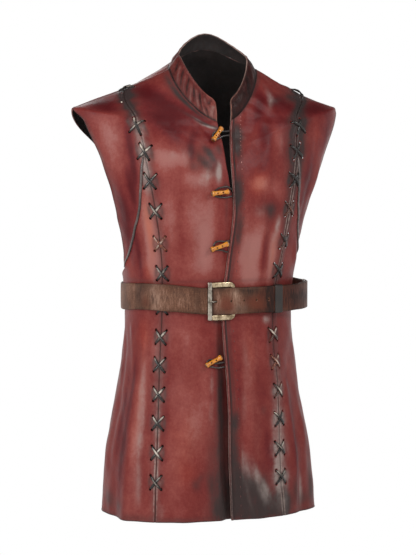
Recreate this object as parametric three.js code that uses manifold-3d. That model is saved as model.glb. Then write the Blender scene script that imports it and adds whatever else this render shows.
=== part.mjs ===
// A laced leather vest (a costume jerkin), worn filled out, with its own belt.
// Millimetres, +Z up, the front faces -Y, +X is the wearer's left.
// The origin is midway between the two points where the shoulder meets the neck.
import * as THREE from 'three';
import { mergeVertices } from 'three/addons/utils/BufferGeometryUtils.js';
import Module from 'manifold-3d';

const wasm = await Module();
wasm.setup();

// ---------------------------------------------------------------- driving sizes
const LEATHER = 2.0; // thickness of a panel
const SEAM_GAP = 0.3; // between two panels at a seam
const CLEAR = 0.35; // between a piece and what it lies on
const MAX_SLANT = 6; // the slant past which a seam's gap widens no more
const MERGE = 1e-3; // points nearer than this are one point

// ---------------------------------------------------------------- the form
// Level rings up the garment, measured along it from the hem. Each is a rounded oval whose front, sides and
// back have their own height z and distance y; halfWidth is at the sides, and power squares the oval off.
// rise is how the height runs from a side to the middle of the front, as a power of the cosine: a low power
// keeps it near the front's height for longer.
const RING_COLUMNS = [
  'along', 'zFront', 'zSide', 'zBack', 'halfWidth', 'yFront', 'ySide', 'yBack', 'power', 'riseRight',
  'riseLeft',
];
const RINGS = [
  [0, -846, -850, -846, 206, -152, 0, 158, 2.25, 2, 2], // hem
  [110, -738, -738, -736, 199, -147, 0, 150, 2.2, 2, 2], // skirt
  [235, -614, -612, -608, 176, -137, 0, 140, 2.2, 2, 2], // hip
  [340, -512, -508, -504, 163, -127, 0, 126, 2.25, 2, 2], // below the belt
  [400, -450, -448, -446, 162, -118, 0, 112, 2.3, 2, 2], // waist
  [490, -360, -362, -362, 170, -126, 0, 118, 2.4, 2, 2], // ribs
  [600, -262, -262, -262, 195, -135, 2, 128, 2.4, 2, 2], // chest
  [690, -190, -172, -168, 228, -132, 8, 124, 2.3, 2, 2], // yoke
  [760, -150, -83, -82, 262, -116, 20, 112, 2.1, 2, 2], // shoulder tips
  [768, -146.5, -76, -72, 260, -114.5, 19.5, 110, 2.1, 2, 2], // their corners
  [776, -143.5, -72.7, -64, 251, -113, 18.5, 107, 2.1, 2, 2], // start of the shoulder line
  [845, -124, -44, -8, 172, -104, 4, 80, 2.0, 1.8, 1.9], // middle of the shoulders
  [930, -101, -2, 36, 85, -99, -28, 32, 2.0, 1, 1.4], // neck seam
];
const NECK = 930;
const BACK_RISE = 1.3; // the same power across the back

// The stand collar, in the same columns, measured up from the neck seam.
const COLLAR_RINGS = [
  [0, -101, -2, 36, 85, -99, -28, 32, 2.0, 1, 1.4],
  [20, -82, 12, 52, 74, -98, -29, 27, 2.0, 1.2, 1.5],
  [40, -62, 23, 66, 66, -92, -30, 18, 2.0, 1.4, 1.6],
];
const COLLAR_HEIGHT = 40;
const COLLAR_LEATHER = 2.6;
const COLLAR_FOOT = 0.9; // how far above the neck seam it starts
const COLLAR_CORNER = 9; // radius of the front corners
const COLLAR_EDGES = { left: 14.4, right: -12.6 }; // from the middle of the front
const COLLAR_CORNER_SHARES = [0, 0.25, 0.6, 1]; // columns at a corner, as shares of its radius
const COLLAR_ROWS = [0, 0.25, 0.5, 0.75, 1];
const COLLAR_PARTS = 36;
const COLLAR_BULGE = 1.5; // how far it bellies out, halfway up

// Where the seams and edges run. The laced seams are in degrees from the middle of the front, the edges of
// the fronts in millimetres from it; roll is where the right front begins to roll in under the left one, and
// sink is how far in it goes.
const SEAM_COLUMNS = ['along', 'laceRight', 'laceLeft', 'edgeLeft', 'roll', 'edgeRight', 'sink'];
const SEAMS = [
  [0, 49.7, 39.5, -1, -22, 12, 15],
  [110, 50.1, 38.4, -4, -25, 10, 15],
  [235, 51.6, 42.0, -3, -26, 10, 14],
  [340, 52.6, 41.9, -9, -24, 4, 8],
  [400, 52.7, 44.5, -9, -20, 3, 3.2],
  [490, 50.6, 46.6, -1, -13, 11, 3.2],
  [600, 50.8, 48.1, 8, -2, 18, 3.4],
  [645, 51.8, 49.2, 6.5, -2.6, 3, 3.2],
  [690, 53.0, 50.4, 5, -3.2, -3, 0],
  [760, 57.3, 53.6, 8, -5.2, -5, 0],
  [845, 90, 90, 11, -8.2, -8, 0],
  [930, 90, 90, 14, -12.2, -12, 0],
];
const ROLL_END = 2; // the roll is done this far before the left front's edge
const FLAT_PARTS = 9; // columns of the right front before its roll
const LEFT_PARTS = 11;
const SIDE_PARTS = 6;
const WING_PARTS = 5;
const BACK_PARTS = 16;
const LACE_TURN = 760; // above here the laced seams turn out along the shoulder
const LACE_BEND = { right: 1.8, left: 2.6 }; // how late they turn

// The armhole and the piped edge of each wing, in degrees from the middle of the front.
const ARMHOLE_COLUMNS = ['along', 'front', 'pipeRight', 'pipeLeft', 'back'];
const ARMHOLE = [
  [452, 106, 106, 106, 106],
  [462, 97, 97, 97, 110],
  [473, 89, 88.5, 88.5, 113],
  [490, 86, 81.5, 78, 115.5],
  [520, 84, 73, 67, 118],
  [560, 82.5, 66.3, 60, 119.5],
  [600, 80.5, 60.6, 56, 119.5],
  [645, 78.5, 57.4, 53.6, 118],
  [690, 78, 55.3, 51.8, 112.5],
  [711, 78, 54.0, 51.2, 106.5],
  [735, 78.8, 55, 52, 98],
  [752, 81, 56, 53, 94],
  [768, 89.9, 57, 54, 90.1],
];
const UNDERARM = 452;
const WING_FOOT = 473; // where the wing runs out above the underarm
const WING_POINT = 711; // where the piped edge leaves the laced seam
const SHOULDER_TIP = 768;
const SHOULDER_LACE = { right: 856, left: 840 }; // where each laced seam meets the shoulder seam
const SHOULDER = 90;
const SIDE_SEAM = 106;

// Heights at which every panel has a row of points, so that two panels meet row to row.
const ROWS = [
  0, 55, 110, 170, 235, 290, 340, 370, 385, 400, 415, 430, 452, 462, 473, 490, 520, 560, 600, 645, 690,
  711, 735, 752, 760, 768, 776, 800, 830, 840, 848, 856, 872, 900, 930,
];

const WAIST = 415; // the row where the long panels' two lengths meet

// Soft folds of the skirt: the angle and half-width in degrees, how far out at the hem, and where they end.
const FOLD_COLUMNS = ['angle', 'halfWidth', 'out', 'top'];
const FOLDS = [
  [-96, 10, 3, 380],
  [-79, 8, -5, 330],
  [-67, 7, 6, 360],
  [-30, 10, 4, 300],
  [20, 9, 4, 260],
  [57, 7, -5, 320],
  [70, 9, 5, 380],
  [92, 10, -5, 340],
  [122, 12, 7, 380],
  [147, 11, -5, 330],
  [168, 11, 6, 360],
  [192, 12, -5, 340],
  [214, 11, 7, 370],
  [236, 10, -5, 330],
];

// The cord along the outer edge of each wing.
const PIPING = { width: 4.4, top: 3.2, height: 2.2, clear: 0.6, end: 690 };

// The crossed thongs that close the laced seams, one row for each cross, the same on both sides. The width
// and height are between its holes. One more cross on each side goes over the top of the shoulder.
const LACE_COLUMNS = ['along', 'width', 'height', 'liftRight', 'liftLeft'];
const LACES = [
  [75, 21, 26, 0, 0],
  [130, 21, 26, 0, 0],
  [185, 21, 26, 0, 0],
  [239, 21, 26, 0, 0],
  [295, 21, 26, 0, 0],
  [347, 21, 26, 0, 0],
  [403, 21, 26, 0, 0], // under the belt
  [468, 22, 27, 0, 0],
  [529, 22, 27, 0, 0],
  [597, 22, 27, 0, 0],
  [658, 22, 27, 0, 2.8], // on the left it is over the piping
  [712, 22, 28, 0, 0],
  [757, 22, 28, 0, 0],
];
const TOP_LACE = { below: 2, width: 22, height: 28, liftRight: 0.5, liftLeft: 0.5 }; // below SHOULDER_LACE
const THONG = { width: 5, top: 3.8, height: 2.2, over: 1.5 }; // over: how much the upper strand rises

// Toggles on the right front: height, distance of the centre from the middle of the front, tilt, length, and
// where the tie that holds it lies: its middle and its half-length along the toggle.
const TOGGLE_COLUMNS = ['along', 'across', 'tilt', 'length', 'tieAt', 'tieHalf'];
const TOGGLES = [
  [304.8, -30.2, 28.6, 36, -5.2, 0.8],
  [521.9, -19.2, 18.2, 38, 0, 5],
  [637.1, -19.9, 6.2, 36, 0, 5],
  [830.3, -16.5, 61.5, 34, 0, 2.5],
];
const TOGGLE_OUT = 8.7; // from the panel to its axis
const TOGGLE_HOLES = { apart: 10.3, diameter: 3.5, drill: 20 };
const TOGGLE_SIDES = 8;
const PROFILE_COLUMNS = ['at', 'radius'];
const TOGGLE_PROFILE = [ // at: share of the half-length
  [-1, 4.3],
  [-0.74, 5],
  [-0.52, 3.6],
  [0.52, 3.6],
  [0.74, 5],
  [1, 4.3],
];
const TIE = { width: 4, top: 3, height: 4.4 };

// The cord loop round each tie: points across and up from the toggle's middle. Both ends stop at the edge of
// the left front.
const LOOP = { radius: 1.5, out: 2, sunk: -0.3, sinkLength: 6, endGap: 0.7, sides: 6 };
const LOOPS = [
  [
    [22, -2.2], [11, -3.6], [3, -3.6], [0.4, 1], [-4.5, 3.4], [-10.2, 0.4],
    [-10, -5.4], [-5, -9.6], [1, -10.9], [9, -12.4], [22, -10.9],
  ],
  [
    [19, 9.4], [10, 8.6], [0.4, 9.4], [-6.4, 7], [-9.6, 0.5],
    [-7, -6.4], [0, -7.4], [6.7, -8], [14.5, -11], [19, -11.6],
  ],
  [
    [23, 4.8], [16.5, 10.6], [5, 9.8], [-4, 6.6], [-9.4, 0.4],
    [-6, -6.8], [3.2, -8.4], [12.9, -9.2], [24, -6.8],
  ],
  [[25, 10.4], [12, 9.6], [2, 9], [-5.5, 4], [-6.6, -3], [-2, -8], [6, -5], [14, 0.5], [25, 2.4]],
];

// The belt: one strap that starts at the buckle's heel bar and goes once round the vest and on through the
// buckle and the keeper. Distances round it are measured from the toe bar, to the wearer's left.
const BELT = { middle: -434.5, width: 50, thickness: 3.5, clear: 0.45 };
const BELT_OVER = [384, 392, 404, 418, 430, 444, 450]; // heights of the vest that it lies over
const BELT_STEP = 4; // degrees between its sections
const BELT_TIP = 97; // where it ends, in degrees from the middle of the front
const BELT_LIFT_COLUMNS = ['angle', 'halfWidth', 'out'];
const BELT_LIFTS = [
  [-52.7, 13, 4.4], // over the right lacing
  [44.5, 13, 6], // over the left lacing
  [88, 66, 22], // loose at the wearer's left
];
const BELT_RISE = { angle: -58, halfWidth: 46, up: 8 }; // where it rides up
const TOE_ANGLE = -15.8;
const TRACK = { before: 20, after: 180, step: 0.5 }; // degrees either side of the toe bar that are measured
const BUCKLE = { toe: 8, length: 52.6, height: 71.5, bar: 10, heel: 7, thickness: 3.4, corner: 5 };
const BUCKLE_TILT = 2.55; // how much farther out the toe bar lies than the heel bar
const HEEL_OUT = 1.3;
const TOE_OUT = HEEL_OUT + BUCKLE_TILT;
const BELT_PATH_COLUMNS = ['along', 'out'];
const BELT_PATH = [ // how far out the strap lies at a distance past the toe bar
  [4.5, 0],
  [15, 5.05],
  [48, 5.05],
  [62, 3.85],
];
const PRONG = { radius: 1.6, sides: 8, gap: 0.4 };
const PRONG_PATH = [ // distance from the toe bar, distance out
  [41.2, 2.6],
  [19, 2.6],
  [5, 9.3],
  [-3.6, 9.3],
];
const HOLES = { first: 40, pitch: 25.5, count: 4, diameter: 3.2, sides: 8, past: 1 };
const BUCKLE_STEP = 8; // length of a flat stretch of a bent bar
const CORNER_SIDES = 12;
const TIP_PROFILE = [ // degrees on from where the tip narrows, share of the width
  [0, 1],
  [5, 0.92],
  [8, 0.6],
  [10, 0.2],
];
const KEEPER = { angle: 43.2, width: 16, leather: 1.6, clear: 0.7 };

const radians = THREE.MathUtils.degToRad;
const degrees = THREE.MathUtils.radToDeg;

// A table is read as a smooth curve through its rows.
function readTable(columns, rows) {
  const column = (name) => rows.map((row) => row[columns.indexOf(name)]);
  const x = column('along');
  const curves = {};
  for (const name of columns.slice(1)) {
    const y = column(name);
    const slope = y.map((_, i) => {
      const lo = Math.max(i - 1, 0);
      const hi = Math.min(i + 1, y.length - 1);
      if (lo === i || hi === i) return (y[hi] - y[lo]) / (x[hi] - x[lo]);
      const before = (y[i] - y[lo]) / (x[i] - x[lo]);
      const after = (y[hi] - y[i]) / (x[hi] - x[i]);
      return (before * (x[hi] - x[i]) + after * (x[i] - x[lo])) / (x[hi] - x[lo]);
    });
    curves[name] = (at) => {
      const along = THREE.MathUtils.clamp(at, x[0], x[x.length - 1]);
      let i = 0;
      while (i < x.length - 2 && along >= x[i + 1]) i += 1;
      const span = x[i + 1] - x[i];
      const t = (along - x[i]) / span;
      return (2 * t ** 3 - 3 * t ** 2 + 1) * y[i] + (t ** 3 - 2 * t ** 2 + t) * span * slope[i]
        + (-2 * t ** 3 + 3 * t ** 2) * y[i + 1] + (t ** 3 - t ** 2) * span * slope[i + 1];
    };
  }
  return curves;
}

// A table is read as one object for each row.
function readRows(columns, rows) {
  return rows.map((row) => Object.fromEntries(columns.map((name, i) => [name, row[i]])));
}

const seam = readTable(SEAM_COLUMNS, SEAMS);
const armhole = readTable(ARMHOLE_COLUMNS, ARMHOLE);
const folds = readRows(FOLD_COLUMNS, FOLDS);

// A round-topped bump: 1 in the middle, 0 from the half-width on.
function bump(distance, halfWidth) {
  return Math.abs(distance) < halfWidth ? Math.cos((distance / halfWidth) * (Math.PI / 2)) ** 2 : 0;
}

function foldOut(angle, along) {
  let out = 0;
  for (const fold of folds) {
    const turn = Math.abs(angle - fold.angle) % 360;
    const fade = Math.max(0, 1 - along / fold.top);
    out += fold.out * fade * bump(Math.min(turn, 360 - turn), fold.halfWidth);
  }
  return out;
}

// A surface through rings: its points are found by an angle, 0 at the middle of the front and growing to the
// wearer's left, and by the distance along it from its first ring.
class RingSurface {
  constructor(curves, top, extraOut = () => 0) {
    Object.assign(this, { curves, top, extraOut });
  }

  radius(angle, along) {
    const forward = Math.cos(radians(angle));
    const across = Math.sin(radians(angle));
    const ySide = this.curves.ySide(along);
    const depth = forward > 0 ? ySide - this.curves.yFront(along) : this.curves.yBack(along) - ySide;
    const power = this.curves.power(along);
    const width = this.curves.halfWidth(along);
    return ((Math.abs(forward) / depth) ** power + (Math.abs(across) / width) ** power) ** (-1 / power);
  }

  plainPoint(angle, along) {
    const forward = Math.cos(radians(angle));
    const across = Math.sin(radians(angle));
    const radius = this.radius(angle, along) + this.extraOut(angle, along);
    const zSide = this.curves.zSide(along);
    const zMiddle = forward > 0 ? this.curves.zFront(along) : this.curves.zBack(along);
    const frontRise = across < 0 ? this.curves.riseRight(along) : this.curves.riseLeft(along);
    const rise = Math.abs(forward) ** (forward > 0 ? frontRise : BACK_RISE);
    return new THREE.Vector3(
      radius * across,
      this.curves.ySide(along) - radius * forward,
      zSide + (zMiddle - zSide) * rise,
    );
  }

  // How far a point moves for each degree round and each millimetre along.
  slopes(angle, along) {
    const turn = 0.5;
    const low = Math.max(along - 1, 0);
    const high = Math.min(along + 1, this.top);
    const round = this.plainPoint(angle + turn, along).sub(this.plainPoint(angle - turn, along));
    const up = this.plainPoint(angle, high).sub(this.plainPoint(angle, low));
    return { round: round.divideScalar(2 * turn), up: up.divideScalar(high - low) };
  }

  outward(angle, along) {
    const { round, up } = this.slopes(angle, along);
    return round.cross(up).normalize();
  }

  point(angle, along, out = 0) {
    return this.plainPoint(angle, along).addScaledVector(this.outward(angle, along), out);
  }

  // The angle and distance reached from a point by a short move over the surface.
  reach(angle, along, move) {
    const { round, up } = this.slopes(angle, along);
    const [rr, ru, uu] = [round.dot(round), round.dot(up), up.dot(up)];
    const [mr, mu] = [move.dot(round), move.dot(up)];
    const scale = rr * uu - ru * ru;
    return [angle + (mr * uu - mu * ru) / scale, along + (mu * rr - mr * ru) / scale];
  }

  angleAcross(across, along) {
    let angle = 0;
    for (let i = 0; i < 8; i += 1) {
      angle = degrees(Math.asin(THREE.MathUtils.clamp(across / this.radius(angle, along), -1, 1)));
    }
    return angle;
  }
}

const body = new RingSurface(readTable(RING_COLUMNS, RINGS), NECK, foldOut);
const collar = new RingSurface(readTable(RING_COLUMNS, COLLAR_RINGS), COLLAR_HEIGHT);

// Half a seam gap, in degrees along the ring. It grows where the seam runs slantwise across the rings.
function halfGap(edge, along) {
  const step = 2;
  const low = Math.max(along - step, 0);
  const high = Math.min(along + step, NECK);
  const radius = body.radius(edge(along), along);
  const slant = (radius * radians(edge(high) - edge(low))) / (high - low);
  return degrees(((SEAM_GAP / 2) * Math.hypot(1, Math.min(Math.abs(slant), MAX_SLANT))) / radius);
}

// ---------------------------------------------------------------- closed walls
// Closes two like grids of points, an outer and an inner one, into one wall. grid[row][column] is a point;
// columns run counter-clockwise as seen from outside, rows run up.
function wallGeometry(outer, inner, closedRound = false) {
  const rows = outer.length;
  const columns = outer[0].length;
  const positions = [];
  for (const grid of [outer, inner]) {
    for (const row of grid) {
      for (const point of row) positions.push(point.x, point.y, point.z);
    }
  }
  const at = (layer, row, column) => (layer * rows + row) * columns + (column % columns);
  const index = [];
  const quad = (a, b, c, d) => index.push(a, b, c, a, c, d);
  const spans = closedRound ? columns : columns - 1;
  for (let row = 0; row < rows - 1; row += 1) {
    for (let k = 0; k < spans; k += 1) {
      const next = (k + 1) % columns;
      const rising = outer[row][k].distanceTo(outer[row + 1][next]);
      const falling = outer[row][next].distanceTo(outer[row + 1][k]);
      for (const [layer, flip] of [[0, false], [1, true]]) {
        const [low, lowNext, top, topNext] = [
          at(layer, row, k), at(layer, row, k + 1), at(layer, row + 1, k), at(layer, row + 1, k + 1),
        ];
        const cut = rising <= falling
          ? [low, lowNext, topNext, low, topNext, top]
          : [low, lowNext, top, lowNext, topNext, top];
        index.push(...(flip ? cut.reverse() : cut));
      }
    }
  }
  for (let k = 0; k < spans; k += 1) {
    quad(at(1, 0, k), at(1, 0, k + 1), at(0, 0, k + 1), at(0, 0, k));
    quad(at(0, rows - 1, k), at(0, rows - 1, k + 1), at(1, rows - 1, k + 1), at(1, rows - 1, k));
  }
  if (!closedRound) {
    for (let row = 0; row < rows - 1; row += 1) {
      quad(at(1, row, 0), at(0, row, 0), at(0, row + 1, 0), at(1, row + 1, 0));
      quad(at(0, row, spans), at(1, row, spans), at(1, row + 1, spans), at(0, row + 1, spans));
    }
  }
  return cleanGeometry(positions, index);
}

// Joins equal points and drops the triangles that this leaves with no area.
function cleanGeometry(positions, index) {
  const geometry = new THREE.BufferGeometry();
  geometry.setAttribute('position', new THREE.Float32BufferAttribute(positions, 3));
  geometry.setIndex(index);
  const merged = mergeVertices(geometry, MERGE);
  const old = merged.getIndex().array;
  const kept = [];
  for (let i = 0; i < old.length; i += 3) {
    const [a, b, c] = [old[i], old[i + 1], old[i + 2]];
    if (a !== b && b !== c && c !== a) kept.push(a, b, c);
  }
  merged.setIndex(kept);
  return merged;
}

function toSolid(geometry) {
  const bare = geometry.clone();
  bare.deleteAttribute('normal');
  bare.deleteAttribute('uv');
  const merged = mergeVertices(bare, MERGE);
  return new wasm.Manifold(new wasm.Mesh({
    numProp: 3,
    vertProperties: new Float32Array(merged.getAttribute('position').array),
    triVerts: new Uint32Array(merged.getIndex().array),
  }));
}

function fromSolid(solid) {
  const mesh = solid.getMesh();
  const geometry = new THREE.BufferGeometry();
  geometry.setAttribute('position', new THREE.Float32BufferAttribute(mesh.vertProperties, 3));
  geometry.setIndex(Array.from(mesh.triVerts));
  return geometry;
}

// Turns a closed mesh's faces outwards.
function faceOut(geometry) {
  const at = geometry.getAttribute('position');
  const index = Array.from(geometry.getIndex().array);
  const corner = (i) => new THREE.Vector3().fromBufferAttribute(at, index[i]);
  let volume = 0;
  for (let i = 0; i < index.length; i += 3) volume += corner(i).dot(corner(i + 1).cross(corner(i + 2)));
  if (volume < 0) geometry.setIndex(index.reverse());
  return geometry;
}

// Joins a row of like sections, each a ring of points, into one solid with flat ends.
function sweepGeometry(sections) {
  const sides = sections[0].length;
  const positions = sections.flat().flatMap((point) => point.toArray());
  const last = (sections.length - 1) * sides;
  const index = [];
  for (let start = 0; start < last; start += sides) {
    for (let k = 0; k < sides; k += 1) {
      const next = (k + 1) % sides;
      const [a, b, c, d] = [start + k, start + next, start + sides + next, start + sides + k];
      index.push(a, b, c, a, c, d);
    }
  }
  for (let k = 1; k < sides - 1; k += 1) index.push(0, k + 1, k, last, last + k, last + k + 1);
  return faceOut(cleanGeometry(positions, index));
}

const ringSection = (radius, sides) => Array.from({ length: sides }, (_, k) => {
  const turn = (2 * Math.PI * (k + 0.5)) / sides;
  return [radius * Math.cos(turn), radius * Math.sin(turn)];
});

const ribSection = (width, top, height) => [
  [-width / 2, 0], [width / 2, 0], [top / 2, height], [-top / 2, height],
];

// A piece that lies on a surface. route is a list of [angle, along, lift], lift being the clearance under the
// section; section is a list of corners [across, out].
function laidGeometry(surface, route, section) {
  const sections = route.map(([angle, along, lift], i) => {
    const [before, after] = [route[Math.max(i - 1, 0)], route[Math.min(i + 1, route.length - 1)]];
    const ahead = surface.point(after[0], after[1]).sub(surface.point(before[0], before[1]));
    const across = ahead.cross(surface.outward(angle, along)).normalize();
    return section.map(([width, out]) => {
      const [a, l] = surface.reach(angle, along, across.clone().multiplyScalar(width));
      return surface.point(a, l, lift + out);
    });
  });
  return sweepGeometry(sections);
}

// The unit directions round and up a surface at a point, at right angles to each other and to outward.
function directions(surface, angle, along) {
  const outward = surface.outward(angle, along);
  const round = surface.slopes(angle, along).round.normalize();
  return { round, up: outward.clone().cross(round), outward };
}

// ---------------------------------------------------------------- seams as functions of height
function laceAngle(side, along) {
  const column = side < 0 ? seam.laceRight : seam.laceLeft;
  if (along <= LACE_TURN) return side * column(along);
  const hand = side < 0 ? 'right' : 'left';
  const rise = Math.min(1, (along - LACE_TURN) / (SHOULDER_LACE[hand] - LACE_TURN));
  const start = column(LACE_TURN);
  return side * (start + (SHOULDER - start) * rise ** LACE_BEND[hand]);
}

function pipeAngle(side, along) {
  if (along >= WING_POINT) return laceAngle(side, along);
  return side * (side < 0 ? armhole.pipeRight(along) : armhole.pipeLeft(along));
}

function armholeFront(side, along) {
  return side * (along >= SHOULDER_TIP ? SHOULDER : armhole.front(along));
}

function sideEnd(side, along) {
  if (along <= UNDERARM) return side * SIDE_SEAM;
  return along < WING_FOOT ? armholeFront(side, along) : pipeAngle(side, along);
}

function backStart(along) {
  if (along <= UNDERARM) return SIDE_SEAM;
  return along >= SHOULDER_TIP ? SHOULDER : armhole.back(along);
}

// ---------------------------------------------------------------- panels
// A panel between two edges that are angles at each height. Each edge keeps half a seam gap, unless it is
// free, and a row whose edges meet closes to a point.
function panelGeometry({ rows, start, end, parts, offset = () => 0, stations }) {
  const outer = [];
  const inner = [];
  for (const along of rows) {
    const edges = start(along) <= end(along) ? [start, end] : [end, start];
    let from = edges[0](along) + halfGap(edges[0], along);
    let to = edges[1](along) - halfGap(edges[1], along);
    if (to < from) from = to = (from + to) / 2;
    const angles = stations
      ? stations(from, to, along)
      : Array.from({ length: parts + 1 }, (_, k) => from + ((to - from) * k) / parts);
    outer.push(angles.map((angle) => body.point(angle, along, offset(angle, along))));
    inner.push(angles.map((angle) => body.point(angle, along, offset(angle, along) - LEATHER)));
  }
  return wallGeometry(outer, inner);
}

const rowsBetween = (low, high) => ROWS.filter((along) => along >= low && along <= high);
const skirtRows = [...ROWS.filter((along) => along < WAIST), WAIST - SEAM_GAP / 2];
const bodiceRows = (top) => [WAIST + SEAM_GAP / 2, ...rowsBetween(WAIST, top).slice(1)];

// The right front rolls in under the left front, so that the left edge lies over it.
function rollIn(angle, along) {
  const across = body.radius(angle, along) * Math.sin(radians(angle));
  const start = seam.roll(along);
  const end = seam.edgeLeft(along) - ROLL_END;
  const t = THREE.MathUtils.clamp((across - start) / (end - start), 0, 1);
  return -seam.sink(along) * t * t * (3 - 2 * t);
}

function rightFrontStations(from, to, along) {
  const turn = Math.min(to, body.angleAcross(seam.roll(along), along));
  const under = body.angleAcross(seam.edgeLeft(along) - ROLL_END, along);
  const last = Math.min(to, Math.max(under, turn));
  const flat = Array.from({ length: FLAT_PARTS + 1 }, (_, k) => from + ((turn - from) * k) / FLAT_PARTS);
  return [...flat, (turn + last) / 2, last, to];
}

// ---------------------------------------------------------------- small pieces
// Two thongs that cross over a seam, joined where they cross.
function crossGeometry(side, { along, width, height, liftRight, liftLeft }) {
  const seat = [laceAngle(side, along), along];
  const lift = side < 0 ? liftRight : liftLeft;
  const { round, up } = directions(body, ...seat);
  const section = ribSection(THONG.width, THONG.top, THONG.height);
  const strand = (slope, over) => {
    const reach = round.clone().multiplyScalar(width / 2).addScaledVector(up, (slope * height) / 2);
    const route = [-1, -0.5, 0, 0.5, 1].map((share) => [
      ...body.reach(...seat, reach.clone().multiplyScalar(share)),
      CLEAR + lift + over * (1 - Math.abs(share)),
    ]);
    return toSolid(laidGeometry(body, route, section));
  };
  return fromSolid(strand(1, 0).add(strand(-1, THONG.over)));
}

// The place of a toggle: the point of the panel under its middle, and the directions along and across it.
function toggleSeat({ along, across, tilt }) {
  const angle = body.angleAcross(across, along);
  const { round, up, outward } = directions(body, angle, along);
  const lengthways = round.clone().applyAxisAngle(outward, radians(tilt));
  return { angle, along, round, up, lengthways, outward };
}

function toggleGeometry(length) {
  const profile = readRows(PROFILE_COLUMNS, TOGGLE_PROFILE);
  const spool = sweepGeometry(profile.map(({ at, radius }) => (
    ringSection(radius, TOGGLE_SIDES).map(([y, z]) => new THREE.Vector3((at * length) / 2, y, z))
  )));
  let solid = toSolid(spool);
  for (const way of [-1, 1]) {
    const radius = TOGGLE_HOLES.diameter / 2;
    const drill = new THREE.CylinderGeometry(radius, radius, TOGGLE_HOLES.drill, TOGGLE_SIDES);
    drill.rotateX(Math.PI / 2).translate((way * TOGGLE_HOLES.apart) / 2, 0, 0);
    solid = solid.subtract(toSolid(drill));
  }
  return fromSolid(solid);
}

// The knotted tie between the panel and its toggle.
function tieGeometry(toggle) {
  const { angle, along, lengthways } = toggleSeat(toggle);
  const route = [-1, -0.5, 0.5, 1].map((share) => {
    const at = toggle.tieAt + share * (toggle.tieHalf + TIE.width / 2);
    return [...body.reach(angle, along, lengthways.clone().multiplyScalar(at)), CLEAR];
  });
  return laidGeometry(body, route, ribSection(TIE.width, TIE.top, TIE.height));
}

function loopGeometry(toggle, points) {
  const { angle, along, round, up } = toggleSeat(toggle);
  const place = ([x, y]) => body.reach(
    angle, along, round.clone().multiplyScalar(x).addScaledVector(up, y),
  );
  const places = points.map(place);
  const edge = (height) => seam.edgeLeft(height) - CLEAR - LOOP.endGap;
  const across = ([a, l]) => body.radius(a, l) * Math.sin(radians(a));
  for (const end of [0, places.length - 1]) {
    const height = places[end][1];
    places[end] = [body.angleAcross(edge(height), height), height];
  }
  const route = places.map((at) => {
    const short = THREE.MathUtils.clamp((edge(at[1]) - across(at)) / LOOP.sinkLength, 0, 1);
    return [...at, LOOP.sunk + (LOOP.out - LOOP.sunk) * short];
  });
  return laidGeometry(body, smoothRoute(route), ringSection(LOOP.radius, LOOP.sides));
}

// Two points between each two of a route, on a smooth curve through them.
function smoothRoute(route) {
  const curve = new THREE.CatmullRomCurve3(route.map((stop) => new THREE.Vector3(...stop)));
  return curve.getPoints(2 * (route.length - 1)).map((point) => point.toArray());
}

// ---------------------------------------------------------------- the belt
const lifts = readRows(BELT_LIFT_COLUMNS, BELT_LIFTS);
const beltPath = readRows(BELT_PATH_COLUMNS, BELT_PATH);

const withinTurn = (angle) => THREE.MathUtils.euclideanModulo(angle + 180, 360) - 180;

// The belt's inner face in plan, at an angle that may pass 360.
function beltRadius(angle) {
  const form = Math.max(...BELT_OVER.map((along) => body.radius(angle, along)));
  const lift = Math.max(...lifts.map((row) => row.out * bump(withinTurn(angle) - row.angle, row.halfWidth)));
  return form + BELT.clear + lift;
}

const beltPlan = (angle) => new THREE.Vector2(Math.sin(radians(angle)), -Math.cos(radians(angle)))
  .multiplyScalar(beltRadius(angle));

function beltPoint(angle, up, out) {
  const middle = BELT.middle + BELT_RISE.up * bump(withinTurn(angle) - BELT_RISE.angle, BELT_RISE.halfWidth);
  const ahead = beltPlan(angle + 0.5).sub(beltPlan(angle - 0.5)).normalize();
  const foot = beltPlan(angle);
  return new THREE.Vector3(foot.x + out * ahead.y, foot.y - out * ahead.x, middle + up);
}

// The angle at a distance round the belt past the toe bar, and back.
const beltTrack = [{ angle: TOE_ANGLE - TRACK.before, distance: 0 }];
for (let angle = beltTrack[0].angle; angle < TOE_ANGLE + TRACK.after; angle += TRACK.step) {
  const step = beltPlan(angle + TRACK.step).distanceTo(beltPlan(angle));
  beltTrack.push({ angle: angle + TRACK.step, distance: beltTrack[beltTrack.length - 1].distance + step });
}

// Reads column to where column from has this value, on straight lines between the rows.
function interpolate(rows, from, to, value) {
  const above = rows.findIndex((row) => row[from] > value);
  const k = above < 0 ? rows.length - 1 : Math.max(above, 1);
  const [low, high] = [rows[k - 1], rows[k]];
  return low[to] + ((value - low[from]) / (high[from] - low[from])) * (high[to] - low[to]);
}

const toeDistance = interpolate(beltTrack, 'angle', 'distance', TOE_ANGLE);
const beltAngle = (past) => interpolate(beltTrack, 'distance', 'angle', toeDistance + past);
const pastToe = (angle) => interpolate(beltTrack, 'angle', 'distance', angle) - toeDistance;

const overHeel = BUCKLE.length - BUCKLE.toe / 2; // from the toe bar's middle to the heel bar's far side

// How far out the strap's inner face lies: on the vest the first time round, then over the buckle's heel bar
// and its own start.
function strapOut(angle) {
  if (angle < 360 + beltAngle(beltPath[0].along)) return beltPath[0].out;
  const past = Math.min(pastToe(angle - 360), beltPath[beltPath.length - 1].along);
  return interpolate(beltPath, 'along', 'out', past);
}

// The prong runs from the heel bar under the strap, up through its hole and over the toe bar.
function prongGeometry(radius) {
  return sweepGeometry(PRONG_PATH.map(([past, out], i) => {
    const before = PRONG_PATH[Math.max(i - 1, 0)];
    const after = PRONG_PATH[Math.min(i + 1, PRONG_PATH.length - 1)];
    const lean = Math.atan2(after[1] - before[1], after[0] - before[0]);
    return ringSection(radius, PRONG.sides).map(([across, up]) => (
      beltPoint(beltAngle(past - across * Math.sin(lean)), up, out + across * Math.cos(lean))
    ));
  }));
}

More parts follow.
